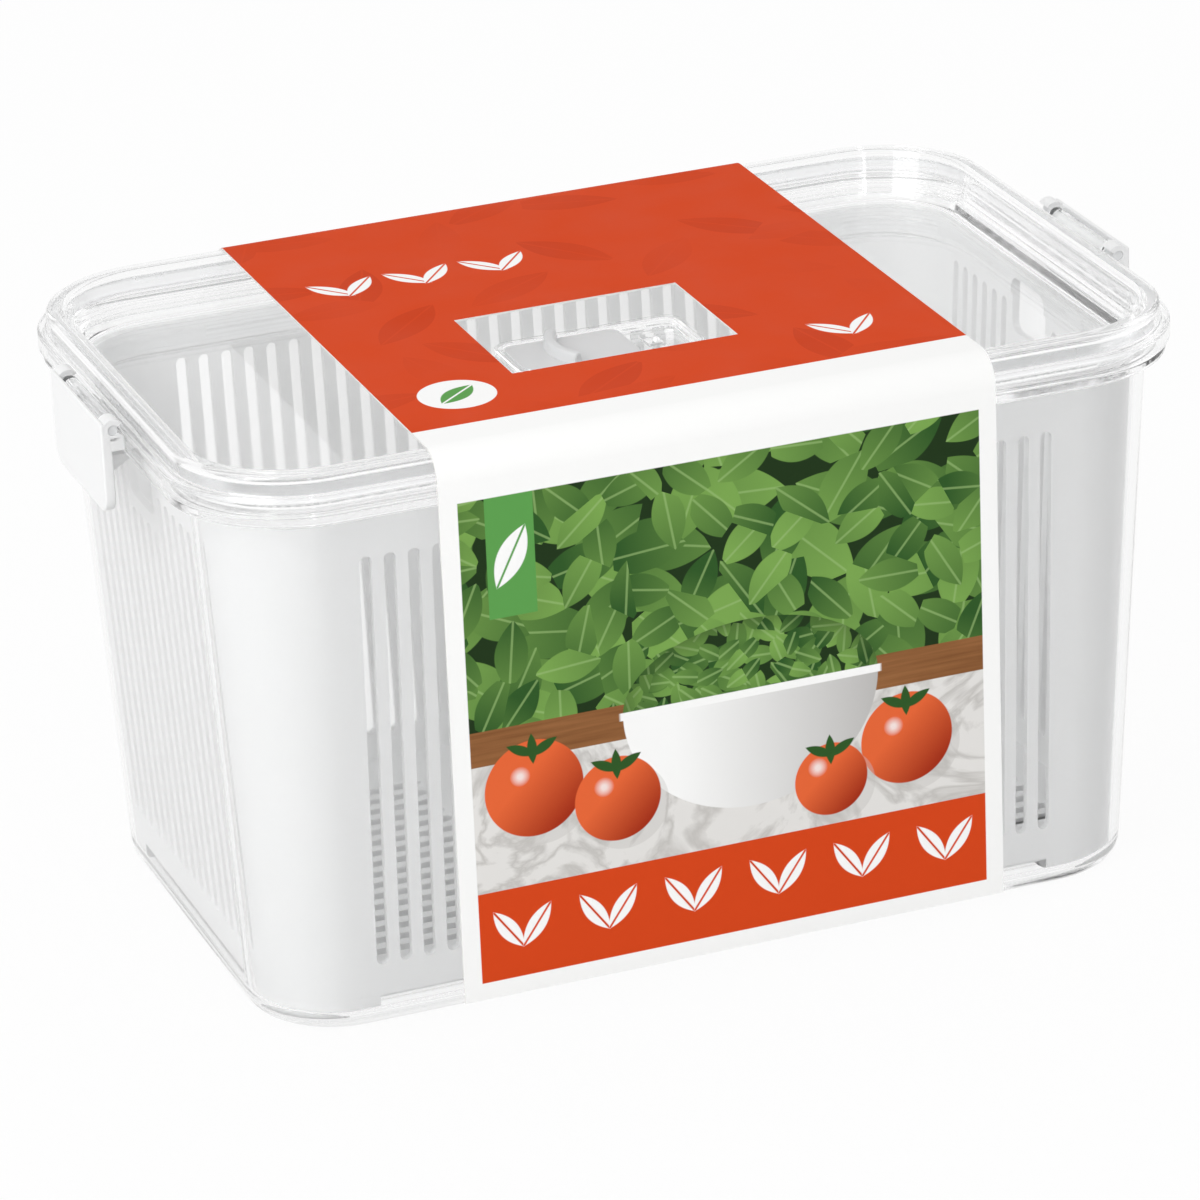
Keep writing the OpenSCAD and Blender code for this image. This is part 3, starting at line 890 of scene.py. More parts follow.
    def bowl(self, sheet: Sheet, under: Socket) -> Socket:
        """Lays a white bowl heaped with leaves over a colour.

        Args:
            sheet: Board of the card.
            under: Colour under the bowl.

        Returns:
            The new colour.
        """
        middle, rim_z, half, depth, heap, leaf_size = 4.0, 76.0, 33.0, 30.0, 19.0, 9.0
        across = sheet.math("DIVIDE", sheet.math("SUBTRACT", sheet.x, middle), half)
        rise = sheet.math("SUBTRACT", sheet.z, rim_z)
        above = sheet.above(rise, 0.0)
        share = sheet.math("DIVIDE", rise, sheet.spread(above, 0.0, 1.0, depth, heap))
        round_2 = sheet.math("MULTIPLY_ADD", share, share, sheet.math("MULTIPLY", across, across))
        inside = sheet.spread(round_2, 0.985, 1.0, 1.0, 0.0)
        ware = sheet.mix(sheet.spread(across, -0.6, 1.1), self.paper, self.bowl_low)
        heaped = self.greens(sheet, sheet.vector("ADD", sheet.upright, (11.0, 5.0, 0.0)), leaf_size)
        heaped = sheet.mix(sheet.spread(round_2, 0.55, 1.05, 0.0, 0.55), heaped, self.dark_green)
        color = sheet.mix(inside, under, sheet.mix(above, ware, heaped))
        lip = sheet.math("MULTIPLY", sheet.within(rise, -1.2, 0.8), sheet.within(across, -1.02, 1.02, 0.01))
        return sheet.mix(lip, color, self.paper)

    def fruit(self, sheet: Sheet, under: Socket, x: float, z: float, radius: float) -> Socket:
        """Lays one round fruit with three small leaves over a colour.

        Args:
            sheet: Board of the card.
            under: Colour under the fruit.
            x: Place of its middle along the container.
            z: Height of its middle.
            radius: Its radius.

        Returns:
            The new colour.
        """
        place = sheet.upright
        shadow_share, stalk_rise = 0.35, 0.82
        shadow = sheet.group(sheet.disc_tree, Place=place, Centre=(x + 2.0, z - 2.5, 0.0), Radius=radius)
        color = sheet.mix(sheet.math("MULTIPLY", shadow["Disc"], shadow_share), under, self.vein)
        mark = sheet.group(sheet.disc_tree, Place=place, Centre=(x, z, 0.0), Radius=radius)
        body = sheet.mix(mark["Shade"], self.fruit_high, self.fruit_low)
        body = sheet.mix(mark["Glint"], body, self.paper)
        color = sheet.mix(mark["Disc"], color, body)
        for turn, reach in ((-0.5, 3.2), (-1.6, 2.2), (-2.7, 3.2)):
            stalk = (x + reach * math.cos(turn), z + stalk_rise * radius, 0.0)
            calyx = sheet.group(sheet.leaf_tree, Place=place, Centre=stalk, Turn=turn, Length=8.0, Width=2.6)
            color = sheet.mix(calyx["Leaf"], color, self.leaf_low)
        return color

    def frieze(self, sheet: Sheet) -> Socket:
        """Returns the colour of the band along the foot: a row of white leaf pairs on orange-red.

        Args:
            sheet: Board of the card.

        Returns:
            The colour.
        """
        start = sheet.math("SUBTRACT", sheet.x, self.field_x[0])
        step = sheet.math("FLOORED_MODULO", start, self.band_pitch)
        local = sheet.math("SUBTRACT", step, self.band_pitch / 2)
        rise = sheet.math("SUBTRACT", sheet.z, (self.field_z[0] + self.band_z) / 2)
        return self.sprig(sheet, sheet.flat(local, rise), self.orange, (0.0, 1.2, 3.6, 0.95), Length=13.0,
                          Width=4.6)

    def cover(self, sheet: Sheet) -> Socket:
        """Returns the colour of the top: orange-red with faint leaves, white sprigs and a round badge.

        Args:
            sheet: Board of the card.

        Returns:
            The colour.
        """
        place = sheet.level
        fade = 0.45
        inks = (self.deep_orange, self.orange, self.orange)
        color = sheet.mix(fade, sheet.strew(place, self.orange, (30.0, 30.0, 11.0), inks), self.orange)
        for middle in self.sprigs:
            color = self.sprig(sheet, place, color, (*middle, 3.8, 0.9), Length=15.0, Width=5.0)
        offset = sheet.vector("SUBTRACT", place, self.badge)
        color = sheet.mix(sheet.below(sheet.length(offset), self.badge_r), color, self.paper)
        return sheet.leaf(offset, color, (self.green, self.paper), Turn=-0.7, Length=14.0, Width=6.5)

    def hind(self, sheet: Sheet) -> Socket:
        """Returns the colour of the back: orange-red above, green leaves on white below.

        Args:
            sheet: Board of the card.

        Returns:
            The colour.
        """
        inks = (self.green, self.leaf_high, self.paper)
        leaves = sheet.strew(sheet.upright, self.paper, (24.0, 26.0, 10.0), inks)
        return sheet.mix(sheet.above(sheet.z, self.hind_z), leaves, self.orange)


# Sub-assemblies


@dataclass(frozen=True)
class Plan:
    """Rounded rectangle that the tub, basket, lid and seal follow at every height."""

    core_x: float
    core_y: float
    top: float
    foot_shift: float
    top_shift: float

    def ring(self, bm: BMesh, level: Level) -> Edges:
        """Draws the loop of one level and returns its edges."""
        shift = self.foot_shift + (self.top_shift - self.foot_shift) * level.height / self.top
        return ring_edges(bm, self.core_x + level.reach, self.core_y + level.reach, level.reach - shift,
                          level.height)

    def shell(self, bm: BMesh, levels: list[Level], closed: bool = False) -> None:
        """Draws a solid from the corners of its section: a closed ring, or a tray with two floors."""
        loft(bm, [self.ring(bm, level) for level in rounded(levels, closed)], closed)


@dataclass
class Tub:
    """Clear tub with leaning walls, a flange and a lip."""

    plan: Plan
    height: float
    flange_reach: float = 34.0
    wall_reach: float = 29.0
    foot_reach: float = 22.1
    wall: float = 2.2
    floor: float = 3.2
    foot_recess: float = 0.8
    foot_inner: float = 10.4
    flange_t: float = 2.6
    lip_h: float = 3.2
    lip_out: float = 31.4
    lip_in: float = 29.4
    foot_r: float = 6.0
    fillet_r: float = 1.8
    floor_r: float = 3.8
    floor_out: float = 0.2
    edge_r: float = 0.6
    fine_r: float = 0.3

    def build(self) -> BMesh:
        """Returns the tub's mesh."""
        rim = self.height - self.lip_h
        under = rim - self.flange_t
        mouth = self.wall_reach - self.wall
        bm = bmesh.new()
        self.plan.shell(bm, [
            Level(self.foot_inner, self.foot_recess, self.fine_r), Level(self.foot_inner, 0.0, self.fine_r),
            Level(self.foot_reach, 0.0, self.foot_r), Level(self.wall_reach, under, self.fillet_r),
            Level(self.flange_reach, under, self.edge_r), Level(self.flange_reach, rim, self.edge_r),
            Level(self.lip_out, rim, self.fine_r), Level(self.lip_out, self.height, self.edge_r),
            Level(self.lip_in, self.height, self.edge_r), Level(self.lip_in, rim, self.fine_r),
            Level(mouth, rim, self.edge_r),
            Level(self.foot_reach - self.wall + self.floor_out, self.floor, self.floor_r)])
        face_out(bm)
        return bm

    def dress(self, clear: Material) -> None:
        """Builds the tub in clear plastic."""
        finish_piece(self.build(), "tub_shell", "tub", "tub", [clear])


@dataclass
class Basket:
    """White basket with slots on every side, finger holes, a slotted floor and corner feet."""

    plan: Plan
    foot_z: float
    top: float
    foot_reach: float = 18.84
    top_reach: float = 25.24
    foot_h: float = 3.3
    wall: float = 1.9
    edge_r: float = 1.2
    pitch: float = 6.0
    slot_w: float = 3.0
    slot_low: float = 16.0
    slot_high: float = 123.9
    long_half: float = 90.0
    short_half: float = 48.0
    finger_half: float = 12.0
    finger_low: float = 114.7
    finger_margin: float = 2.2
    finger_r: float = 7.1
    floor_half: float = 102.0
    floor_gap: float = 3.0
    slot_edge: float = 0.55
    band_w: float = 0.6
    band_h: float = 6.7
    band_step: float = 0.5
    foot_end_x: float = 88.0
    foot_end_y: float = 42.0
    foot_t: float = 6.5
    foot_lean: float = 0.1
    foot_in_r: float = 0.4
    foot_out_r: float = 1.6
    slot_spare: float = 0.04

    def reach(self, z: float) -> float:
        """Returns how far the outer wall reaches at a height."""
        low_z = self.foot_z + self.foot_h
        return self.foot_reach + (self.top_reach - self.foot_reach) * (z - low_z) / (self.top - low_z)

    def margin(self) -> float:
        """Returns the solid stretch from a slot to its cell's border."""
        return (self.pitch - self.slot_w) / 2

    def stops(self, half: float) -> list[float]:
        """Returns the cell borders along a side."""
        return [index * self.pitch - half for index in range(round(2 * half / self.pitch) + 1)]

    def cell(self, face: BMFace) -> tuple | None:
        """Names the cell of the slot pattern that a face belongs to, or None for a plain face."""
        middle = face.calc_center_median()
        tall = self.slot_low - self.margin() < middle.z < self.slot_high + self.margin()
        row = int((middle.y + self.short_half) // self.pitch)
        if face.normal.z < -FACING:
            column = self.column(middle.x)
            return ("floor", column, row) if column is not None and abs(middle.y) < self.short_half else None
        if abs(face.normal.y) > FACING:
            if abs(middle.x) > self.long_half or not tall:
                return None
            return ("long", middle.y > 0, int((middle.x + self.long_half) // self.pitch))
        if abs(middle.y) < self.finger_half and middle.z > self.finger_low:
            return ("finger", middle.x > 0)
        if abs(face.normal.x) < FACING or abs(middle.y) > self.short_half or not tall:
            return None
        return ("short", middle.x > 0, row)

    def column(self, x: float) -> int | None:
        """Returns which of the floor's three slot columns a place lies in, or None between them."""
        third = self.floor_half / 3
        side = (abs(x) > third) - (abs(x) > self.floor_half)
        if abs(x) > self.floor_half or abs(abs(x) - third) < self.floor_gap:
            return None
        return side * (1 if x > 0 else -1)

    def cells(self, bm: BMesh) -> dict[str, list[BMFace]]:
        """Cuts the walls and floor into cells and joins each cell to one face.

        Args:
            bm: Shell with plain walls.

        Returns:
            The cells' faces by kind.
        """
        third = self.floor_half / 3
        slice_at(bm, 0, self.stops(self.long_half), lambda face: abs(face.normal.y) > FACING)
        slice_at(bm, 1, self.stops(self.short_half), lambda face: abs(face.normal.y) < ASIDE)
        borders = [side * place for side in (-1, 1)
                   for place in (third - self.floor_gap, third + self.floor_gap, self.floor_half)]
        slice_at(bm, 0, borders, lambda face: face.normal.z < -FACING)
        slice_at(bm, 2, [self.slot_low - self.margin(), self.slot_high + self.margin()])
        slice_at(bm, 2, [self.finger_low], lambda face: abs(face.normal.x) > FACING
                 and abs(face.calc_center_median().y) < self.finger_half)
        groups: dict[tuple, list[BMFace]] = {}
        for face in bm.faces:
            key = self.cell(face)
            if key is not None:
                groups.setdefault(key, []).append(face)
        kinds: dict[str, list[BMFace]] = {}
        for key, faces in groups.items():
            if len(faces) > 1:
                faces = bmesh.ops.dissolve_faces(bm, faces=faces)["region"]
            kinds.setdefault(key[0], []).extend(faces)
        return kinds

    def build(self) -> BMesh:
        """Returns the basket's mesh."""
        bm = bmesh.new()
        low_z = self.foot_z + self.foot_h
        band_z = self.top - self.band_h
        self.plan.shell(bm, [Level(self.reach(low_z), low_z, self.edge_r), Level(self.top_reach, self.top)])
        face_out(bm)
        roof = [face for face in bm.faces if face.normal.z > FACING]
        bmesh.ops.delete(bm, geom=roof, context="FACES_ONLY")
        kinds = self.cells(bm)
        fingers = kinds.pop("finger")
        slots = [face for faces in kinds.values() for face in faces]
        pierce(bm, slots, self.margin(), self.slot_w / 2 - self.slot_spare)
        pierce(bm, [face for face in fingers if face.is_valid], self.finger_margin, self.finger_r, 10)
        slice_at(bm, 2, [band_z - self.band_step, band_z])
        outer = set(bm.verts)
        bmesh.ops.solidify(bm, geom=bm.faces[:], thickness=self.wall)
        self.thicken_rim(bm, outer, band_z)
        soften(bm, sharp_edges(bm, 60), self.slot_edge, 2)
        self.add_feet(bm)
        return bm

    def thicken_rim(self, bm: BMesh, outer: set[BMVert], band_z: float) -> None:
        """Moves the inner wall in above a height, so that the rim is a thicker band.

        Args:
            bm: Mesh with a wall of even thickness.
            outer: Vertices of the outer wall.
            band_z: Height of the band's lower edge.
        """
        bm.normal_update()
        for vert in bm.verts:
            if vert in outer or vert.co.z < band_z - NEAR:
                continue
            inward = Vector((0, 0, 0))
            for face in vert.link_faces:
                if outer.isdisjoint(face.verts):
                    inward += face.normal
            inward.z = 0.0
            vert.co += inward.normalized() * self.band_w

    def add_feet(self, bm: BMesh) -> None:
        """Adds the four corner feet, cut from a ring under the floor."""
        feet = bmesh.new()
        top_z = self.foot_z + self.foot_h + self.wall / 2
        inner = self.foot_reach - self.foot_t
        self.plan.shell(feet, [
            Level(inner, top_z), Level(inner, self.foot_z, self.foot_in_r),
            Level(self.foot_reach - self.foot_lean, self.foot_z, self.foot_out_r),
            Level(self.foot_reach, top_z)], closed=True)
        slice_at(feet, 0, [-self.foot_end_x, self.foot_end_x])
        slice_at(feet, 1, [-self.foot_end_y, self.foot_end_y])
        spare = [face for face in feet.faces if abs(face.calc_center_median().x) < self.foot_end_x
                 or abs(face.calc_center_median().y) < self.foot_end_y]
        bmesh.ops.delete(feet, geom=spare, context="FACES")
        bmesh.ops.holes_fill(feet, edges=[edge for edge in feet.edges if edge.is_boundary], sides=0)
        face_out(feet)
        join(bm, feet)

    def dress(self, white: Material) -> None:
        """Builds the basket in white plastic."""
        finish_piece(self.build(), "basket_shell", "basket", "basket", [white])


@dataclass
class Hinge:
    """Place and sizes of the latch hinges, shared by the lid and the latches."""

    x: float = 131.0
    z: float = 145.3
    pin_r: float = 1.3
    pin_fit: float = 0.05
    lug_r: float = 1.5
    lug_half: float = 15.8
    lug_edge: float = 1.1
    lug_sink: float = 0.3
    lug_rise: float = 0.4
    lug_chin: float = 0.6
    half: float = 21.2


@dataclass
class Lid:
    """Clear lid with a skirt, a ridge, a recessed panel, a vent collar and hinge lugs."""

    plan: Plan
    hinge: Hinge
    top: float
    pocket_z: float
    skirt_z: float = 139.5
    ledge_z: float = 144.4
    skirt_reach: float = 35.0
    skirt_in: float = 33.2
    ledge_under: float = 142.8
    ridge_out: float = 32.6
    ridge_in: float = 28.0
    recess_reach: float = 23.8
    panel_t: float = 2.2
    plug_reach: float = 26.2
    step_z: float = 139.8
    collar_reach: float = 28.8
    groove_in: float = 29.35
    groove_out: float = 31.45
    groove_top: float = 146.85
    vent_x: float = 24.8
    vent_y: float = 12.1
    vent_r: float = 5.0
    vent_wall: float = 2.0
    vent_h: float = 3.0
    vent_sink: float = 2.3
    guide_low: float = 135.8
    guide_high: float = 137.0
    guide: float = 1.0
    hole_x: float = 15.375
    hole_half_x: float = 2.0
    hole_low_y: float = 1.25
    hole_high_y: float = 8.25
    pin_short: float = 0.5
    groove_r: float = 0.2
    fine_r: float = 0.3
    plug_r: float = 0.4
    edge_r: float = 0.5
    ledge_r: float = 0.8
    ridge_out_r: float = 1.7
    ridge_in_r: float = 0.9
    recess_r: float = 1.5

    def edge_levels(self) -> list[Level]:
        """Returns the section from under the panel, round the skirt and ridge, to the panel's upper side."""
        under = self.pocket_z + self.vent_sink
        return [
            Level(self.plug_reach, under, self.plug_r), Level(self.plug_reach, self.step_z),
            Level(self.collar_reach, self.step_z, self.fine_r), Level(self.collar_reach, self.ledge_under),
            Level(self.groove_in, self.ledge_under), Level(self.groove_in, self.groove_top, self.groove_r),
            Level(self.groove_out, self.groove_top, self.groove_r), Level(self.groove_out, self.ledge_under),
            Level(self.skirt_in, self.ledge_under, self.fine_r),
            Level(self.skirt_in, self.skirt_z, self.fine_r),
            Level(self.skirt_reach, self.skirt_z, self.edge_r),
            Level(self.skirt_reach, self.ledge_z, self.ledge_r),
            Level(self.ridge_out, self.ledge_z, self.edge_r),
            Level(self.ridge_out, self.top, self.ridge_out_r),
            Level(self.ridge_in, self.top, self.ridge_in_r),
            Level(self.recess_reach, under + self.panel_t, self.recess_r)]

    def pocket_levels(self) -> list[Level]:
        """Returns the section of the pocket that hangs under the panel and carries the vent."""
        return [Level(0.0, self.pocket_z, self.edge_r), Level(0.0, self.pocket_z + self.vent_sink)]

    def collar_levels(self) -> list[Level]:
        """Returns the section of the vent's collar, its slide groove and its floor."""
        floor = self.pocket_z + self.panel_t
        top = floor + self.vent_h
        inner, groove = -self.vent_wall, self.guide - self.vent_wall
        return [Level(0.0, floor + self.vent_sink), Level(0.0, top, self.fine_r),
                Level(inner, top, self.groove_r), Level(inner, self.guide_high),
                Level(groove, self.guide_high), Level(groove, self.guide_low),
                Level(inner, self.guide_low), Level(inner, floor, self.groove_r)]

    def vent_rings(self, bm: BMesh, levels: list[Level]) -> list[Edges]:
        """Draws the loops of a section that follows the vent's outline and returns their edges."""
        return [ring_edges(bm, self.vent_x + level.reach, self.vent_y + level.reach,
                           self.vent_r + level.reach, level.height) for level in rounded(levels)]

    def build(self) -> BMesh:
        """Returns the lid's mesh."""
        bm = bmesh.new()
        rings = self.vent_rings(bm, self.pocket_levels())
        rings += [self.plan.ring(bm, level) for level in rounded(self.edge_levels())]
        rings += self.vent_rings(bm, self.collar_levels())
        loft(bm, rings)
        face_out(bm)
        self.drill(bm)
        for end in End:
            self.add_lug(bm, end)
        return bm

    def drill(self, bm: BMesh) -> None:
        """Opens the two vent holes through the vent's floor."""
        floor_z = self.pocket_z + self.panel_t
        well_x = self.vent_x - self.vent_wall
        well_y = self.vent_y - self.vent_wall

        def in_well(face: BMFace) -> bool:
            """Says whether a face is part of the vent's floor or of the pocket's underside."""
            middle = face.calc_center_median()
            if abs(face.normal.z) < FLAT:
                return False
            floor = abs(middle.z - floor_z) < NEAR and abs(middle.x) < well_x and abs(middle.y) < well_y
            return floor or abs(middle.z - self.pocket_z) < NEAR

        low_x, high_x = self.hole_x - self.hole_half_x, self.hole_x + self.hole_half_x
        spans = ((-self.hole_high_y, -self.hole_low_y), (self.hole_low_y, self.hole_high_y))
        slice_at(bm, 0, [low_x, high_x], in_well)
        slice_at(bm, 1, [place for span in spans for place in span], in_well)
        for low_y, high_y in spans:
            cells = faces_in(bm, in_well, (low_x, low_y), (high_x, high_y))
            edges = [edge for face in cells for edge in face.edges]
            bmesh.ops.delete(bm, geom=cells, context="FACES_ONLY")
            bmesh.ops.bridge_loops(bm, edges=edges)
        bmesh.ops.recalc_face_normals(bm, faces=bm.faces)

    def add_lug(self, bm: BMesh, end: End) -> None:
        """Adds the hinge lug of one end with its two pins."""
        hinge = self.hinge
        lug = bmesh.new()
        root = self.plan.core_x + self.skirt_reach
        sunk = root - hinge.lug_sink
        low, high = self.skirt_z + hinge.lug_rise, self.ledge_under
        tip_x, tip_z = hinge.x + hinge.lug_r, hinge.z + hinge.lug_r
        outline = [(sunk, low), (root, low), (tip_x, hinge.z - hinge.lug_chin), (tip_x, tip_z),
                   (hinge.x - hinge.lug_r, tip_z), (sunk, high)]
        side_prism(lug, outline, -hinge.lug_half, hinge.lug_half)
        face_out(lug)
        tip = [edge for edge in lug.edges if all(vert.co.x > root + NEAR for vert in edge.verts)
               and abs(edge.verts[0].co.y - edge.verts[1].co.y) > hinge.lug_half]
        soften(lug, tip, hinge.lug_edge, 4)
        length = hinge.half - hinge.lug_half - self.pin_short
        plain = set(lug.faces)
        for side in (-1, 1):
            rod(lug, (hinge.x, side * (hinge.lug_half + length / 2), hinge.z), hinge.pin_r, length)
        for face in lug.faces:
            face.material_index = 0 if face in plain else 1
        flip(lug, end)
        join(bm, lug)

    def dress(self, clear: Material, grey: Material) -> None:
        """Builds the lid in clear plastic, with the ends of its pins as pale as they look in their bores."""
        finish_piece(self.build(), "lid_shell", "lid", "lid", [clear, grey])


@dataclass
class LidSeal:
    """Silicone ring in the groove under the lid's ridge."""

    plan: Plan
    low_z: float
    high_z: float
    inner: float = 29.4
    outer: float = 31.4
    foot_r: float = 0.6
    top_r: float = 0.3

    def build(self) -> BMesh:
        """Returns the ring's mesh."""
        bm = bmesh.new()
        self.plan.shell(bm, [
            Level(self.inner, self.low_z, self.foot_r), Level(self.outer, self.low_z, self.foot_r),
            Level(self.outer, self.high_z, self.top_r), Level(self.inner, self.high_z, self.top_r)],
            closed=True)
        face_out(bm)
        return bm

    def dress(self, silicone: Material) -> None:
        """Builds the ring in silicone."""
        finish_piece(self.build(), "lid_seal_ring", "lid", "lid_seal", [silicone])


@dataclass
class Latch:
    """White snap latch at one end: a plate, two knuckles on the lid's pins and a catch under the flange."""

    end: End
    hinge: Hinge
    plate_in: float = 131.4
    plate_out: float = 134.1
    plate_low: float = 123.9
    plate_high: float = 147.2
    corner_r: float = 5.0
    rounding: float = 0.7
    hollow_t: float = 1.1
    hollow_top: float = 0.7
    hollow_low: float = 2.3
    knuckle_r: float = 2.7
    knuckle_w: float = 5.0
    knuckle_low: float = 139.9
    knuckle_inset: float = 0.05
    stem_root: float = 0.8
    stem_gap: float = 0.2
    stem_r: float = 0.4
    mouth: float = 70.0
    hook_half: float = 14.0
    hook_tip: float = 125.0
    hook_z: float = 136.3
    hook_h: float = 5.2
    hook_root: float = 1.0
    hook_r: float = 0.3

    def build(self) -> BMesh:
        """Returns the latch's mesh."""
        bm = bmesh.new()
        self.add_plate(bm)
        for side in (-1, 1):
            self.add_knuckle(bm, side)
        self.add_hook(bm)
        flip(bm, self.end)
        return bm

    def add_plate(self, bm: BMesh) -> None:
        """Adds the plate, hollowed along its top for the lid's lug."""
        half = self.hinge.half
        hollow = self.plate_out - self.hollow_t
        plate = bmesh.new()
        outline = [(self.plate_in, self.plate_low), (self.plate_out, self.plate_low),
                   (self.plate_out, self.plate_high), (hollow, self.plate_high),
                   (hollow, self.hinge.z - self.hollow_top), (self.plate_in, self.hinge.z - self.hollow_low)]
        side_prism(plate, outline, -half, half)
        face_out(plate)
        lower = [edge for edge in plate.edges if abs(edge.verts[0].co.x - edge.verts[1].co.x) > 1
                 and max(vert.co.z for vert in edge.verts) < self.plate_low + 1]
        soften(plate, lower, self.corner_r, 8)
        soften(plate, sharp_edges(plate, 40), self.rounding, 3)
        join(bm, plate)

    def add_knuckle(self, bm: BMesh, side: int) -> None:
        """Adds one knuckle, open towards the lid so that it snaps on the pin, and the block under it.

        Args:
            bm: Mesh of the latch.
            side: -1 or 1 for the side along Y.
        """
        hinge = self.hinge
        knuckle = bmesh.new()
        outer_y = side * (hinge.half - self.knuckle_inset)
        inner_y = side * (hinge.half - self.knuckle_w)
        bore = hinge.pin_r + hinge.pin_fit
        corners = [(bore, inner_y), (self.knuckle_r, inner_y), (self.knuckle_r, outer_y), (bore, outer_y)]
        outline = [Vector((hinge.x + radius, y, hinge.z)) for radius, y in corners]
        mouth = math.radians(self.mouth)
        turns = (math.pi + mouth / 2, 2 * math.pi - mouth)
        spin(knuckle, outline, Vector((hinge.x, 0, hinge.z)), "Y", turns, 22)
        join(bm, knuckle)
        stem = bmesh.new()
        low_y, high_y = sorted((inner_y, outer_y))
        block(stem, (hinge.x - self.knuckle_r, low_y, self.knuckle_low),
              (self.plate_in + self.stem_root, high_y, hinge.z - bore - self.stem_gap))
        soften(stem, stem.edges[:], self.stem_r, 2)
        join(bm, stem)

    def add_hook(self, bm: BMesh) -> None:
        """Adds the catch that grips under the flange."""
        hook = bmesh.new()
        root = self.plate_in + self.hook_root
        outline = [(self.hook_tip, self.hook_z), (root, self.hook_z), (root, self.hook_z - self.hook_h),
                   (self.plate_in, self.hook_z - self.hook_h), (self.hook_tip, self.hook_z - self.hook_h / 4)]
        side_prism(hook, outline, -self.hook_half, self.hook_half)
        face_out(hook)
        soften(hook, sharp_edges(hook, 30), self.hook_r, 2)
        join(bm, hook)

    def dress(self, white: Material) -> None:
        """Builds the latch in white plastic."""
        name = "latch_" + self.end.name.lower()
        finish_piece(self.build(), name + "_clip", name, name, [white])


@dataclass
class Vent:
    """Grey slider with a curved thumb ridge, and the silicone pad under it."""

    low_x: float
    high_x: float
    pad_z: float
    pad_top: float
    slider_top: float = 137.2
    half_y: float = 9.85
    corner_r: float = 3.0
    tongue: float = 1.0
    tongue_t: float = 0.7
    thumb_r: float = 16.5
    thumb_t: float = 3.4
    thumb_h: float = 2.8
    thumb_shift: float = 4.8
    thumb_sink: float = 0.4
    thumb_inset: float = 0.3
    thumb_taper: float = 0.75
    thumb_edge: float = 0.75
    edge_r: float = 0.35
    tongue_r: float = 0.12
    pad_gap: float = 0.25
    pad_r: float = 0.15

    def plate(self, inset_x: float, inset_y: float, radius: float, low_z: float, high_z: float,
              rounding: float) -> BMesh:
        """Draws a rounded plate inside the slider's outline.

        Args:
            inset_x: Distance in from the slider's ends.
            inset_y: Distance in from the slider's sides.
            radius: Corner radius.
            low_z: Underside.
            high_z: Upper side.
            rounding: Rounding of its edges.

        Returns:
            The plate's mesh.
        """
        bm = bmesh.new()
        half_x = (self.high_x - self.low_x) / 2 - inset_x
        middle = (self.high_x + self.low_x) / 2
        half_y = self.half_y - inset_y
        levels = rounded([Level(0.0, low_z, rounding), Level(0.0, high_z, rounding)])
        loft(bm, [ring_edges(bm, half_x + level.reach, half_y + level.reach, radius + level.reach,
                             level.height, middle, 6) for level in levels])
        face_out(bm)
        return bm

    def build_slider(self) -> BMesh:
        """Returns the slider's mesh."""
        bm = self.plate(0.0, 0.0, self.corner_r, self.pad_top, self.slider_top, self.edge_r)
        middle_z = (self.pad_top + self.slider_top) / 2
        tongue = bmesh.new()
        reach = self.half_y + self.tongue
        block(tongue, (self.low_x + self.corner_r, -reach, middle_z - self.tongue_t / 2),
              (self.high_x - self.corner_r, reach, middle_z + self.tongue_t / 2))
        soften(tongue, tongue.edges[:], self.tongue_r, 1)
        join(bm, tongue)
        self.add_thumb(bm)
        return bm

    def add_thumb(self, bm: BMesh) -> None:
        """Adds the curved ridge, spun about a centre beside it."""
        thumb = bmesh.new()
        centre = Vector(((self.low_x + self.high_x) / 2 - self.thumb_shift + self.thumb_r, 0, 0))
        low, high = self.slider_top - self.thumb_sink, self.slider_top + self.thumb_h
        half = self.thumb_t / 2
        crest = half * self.thumb_taper
        section = [(-half, low), (half, low), (crest, high), (-crest, high)]
        outline = [centre + Vector((-self.thumb_r + x, 0, z)) for x, z in section]
        sweep = 2 * math.asin((self.half_y - self.thumb_inset) / self.thumb_r)
        spin(thumb, outline, centre, "Z", (-sweep / 2, sweep), 18)
        soften(thumb, sharp_edges(thumb), self.thumb_edge)
        join(bm, thumb)

    def dress(self, grey: Material, silicone: Material) -> None:
        """Builds the slider in grey plastic and its pad in silicone."""
        finish_piece(self.build_slider(), "vent_slider_plate", "vent", "vent_slider", [grey])
        pad = self.plate(self.corner_r, self.pad_gap, self.corner_r / 2, self.pad_z, self.pad_top,
                         self.pad_r)
        finish_piece(pad, "vent_pad", "vent", "vent_seal", [silicone])


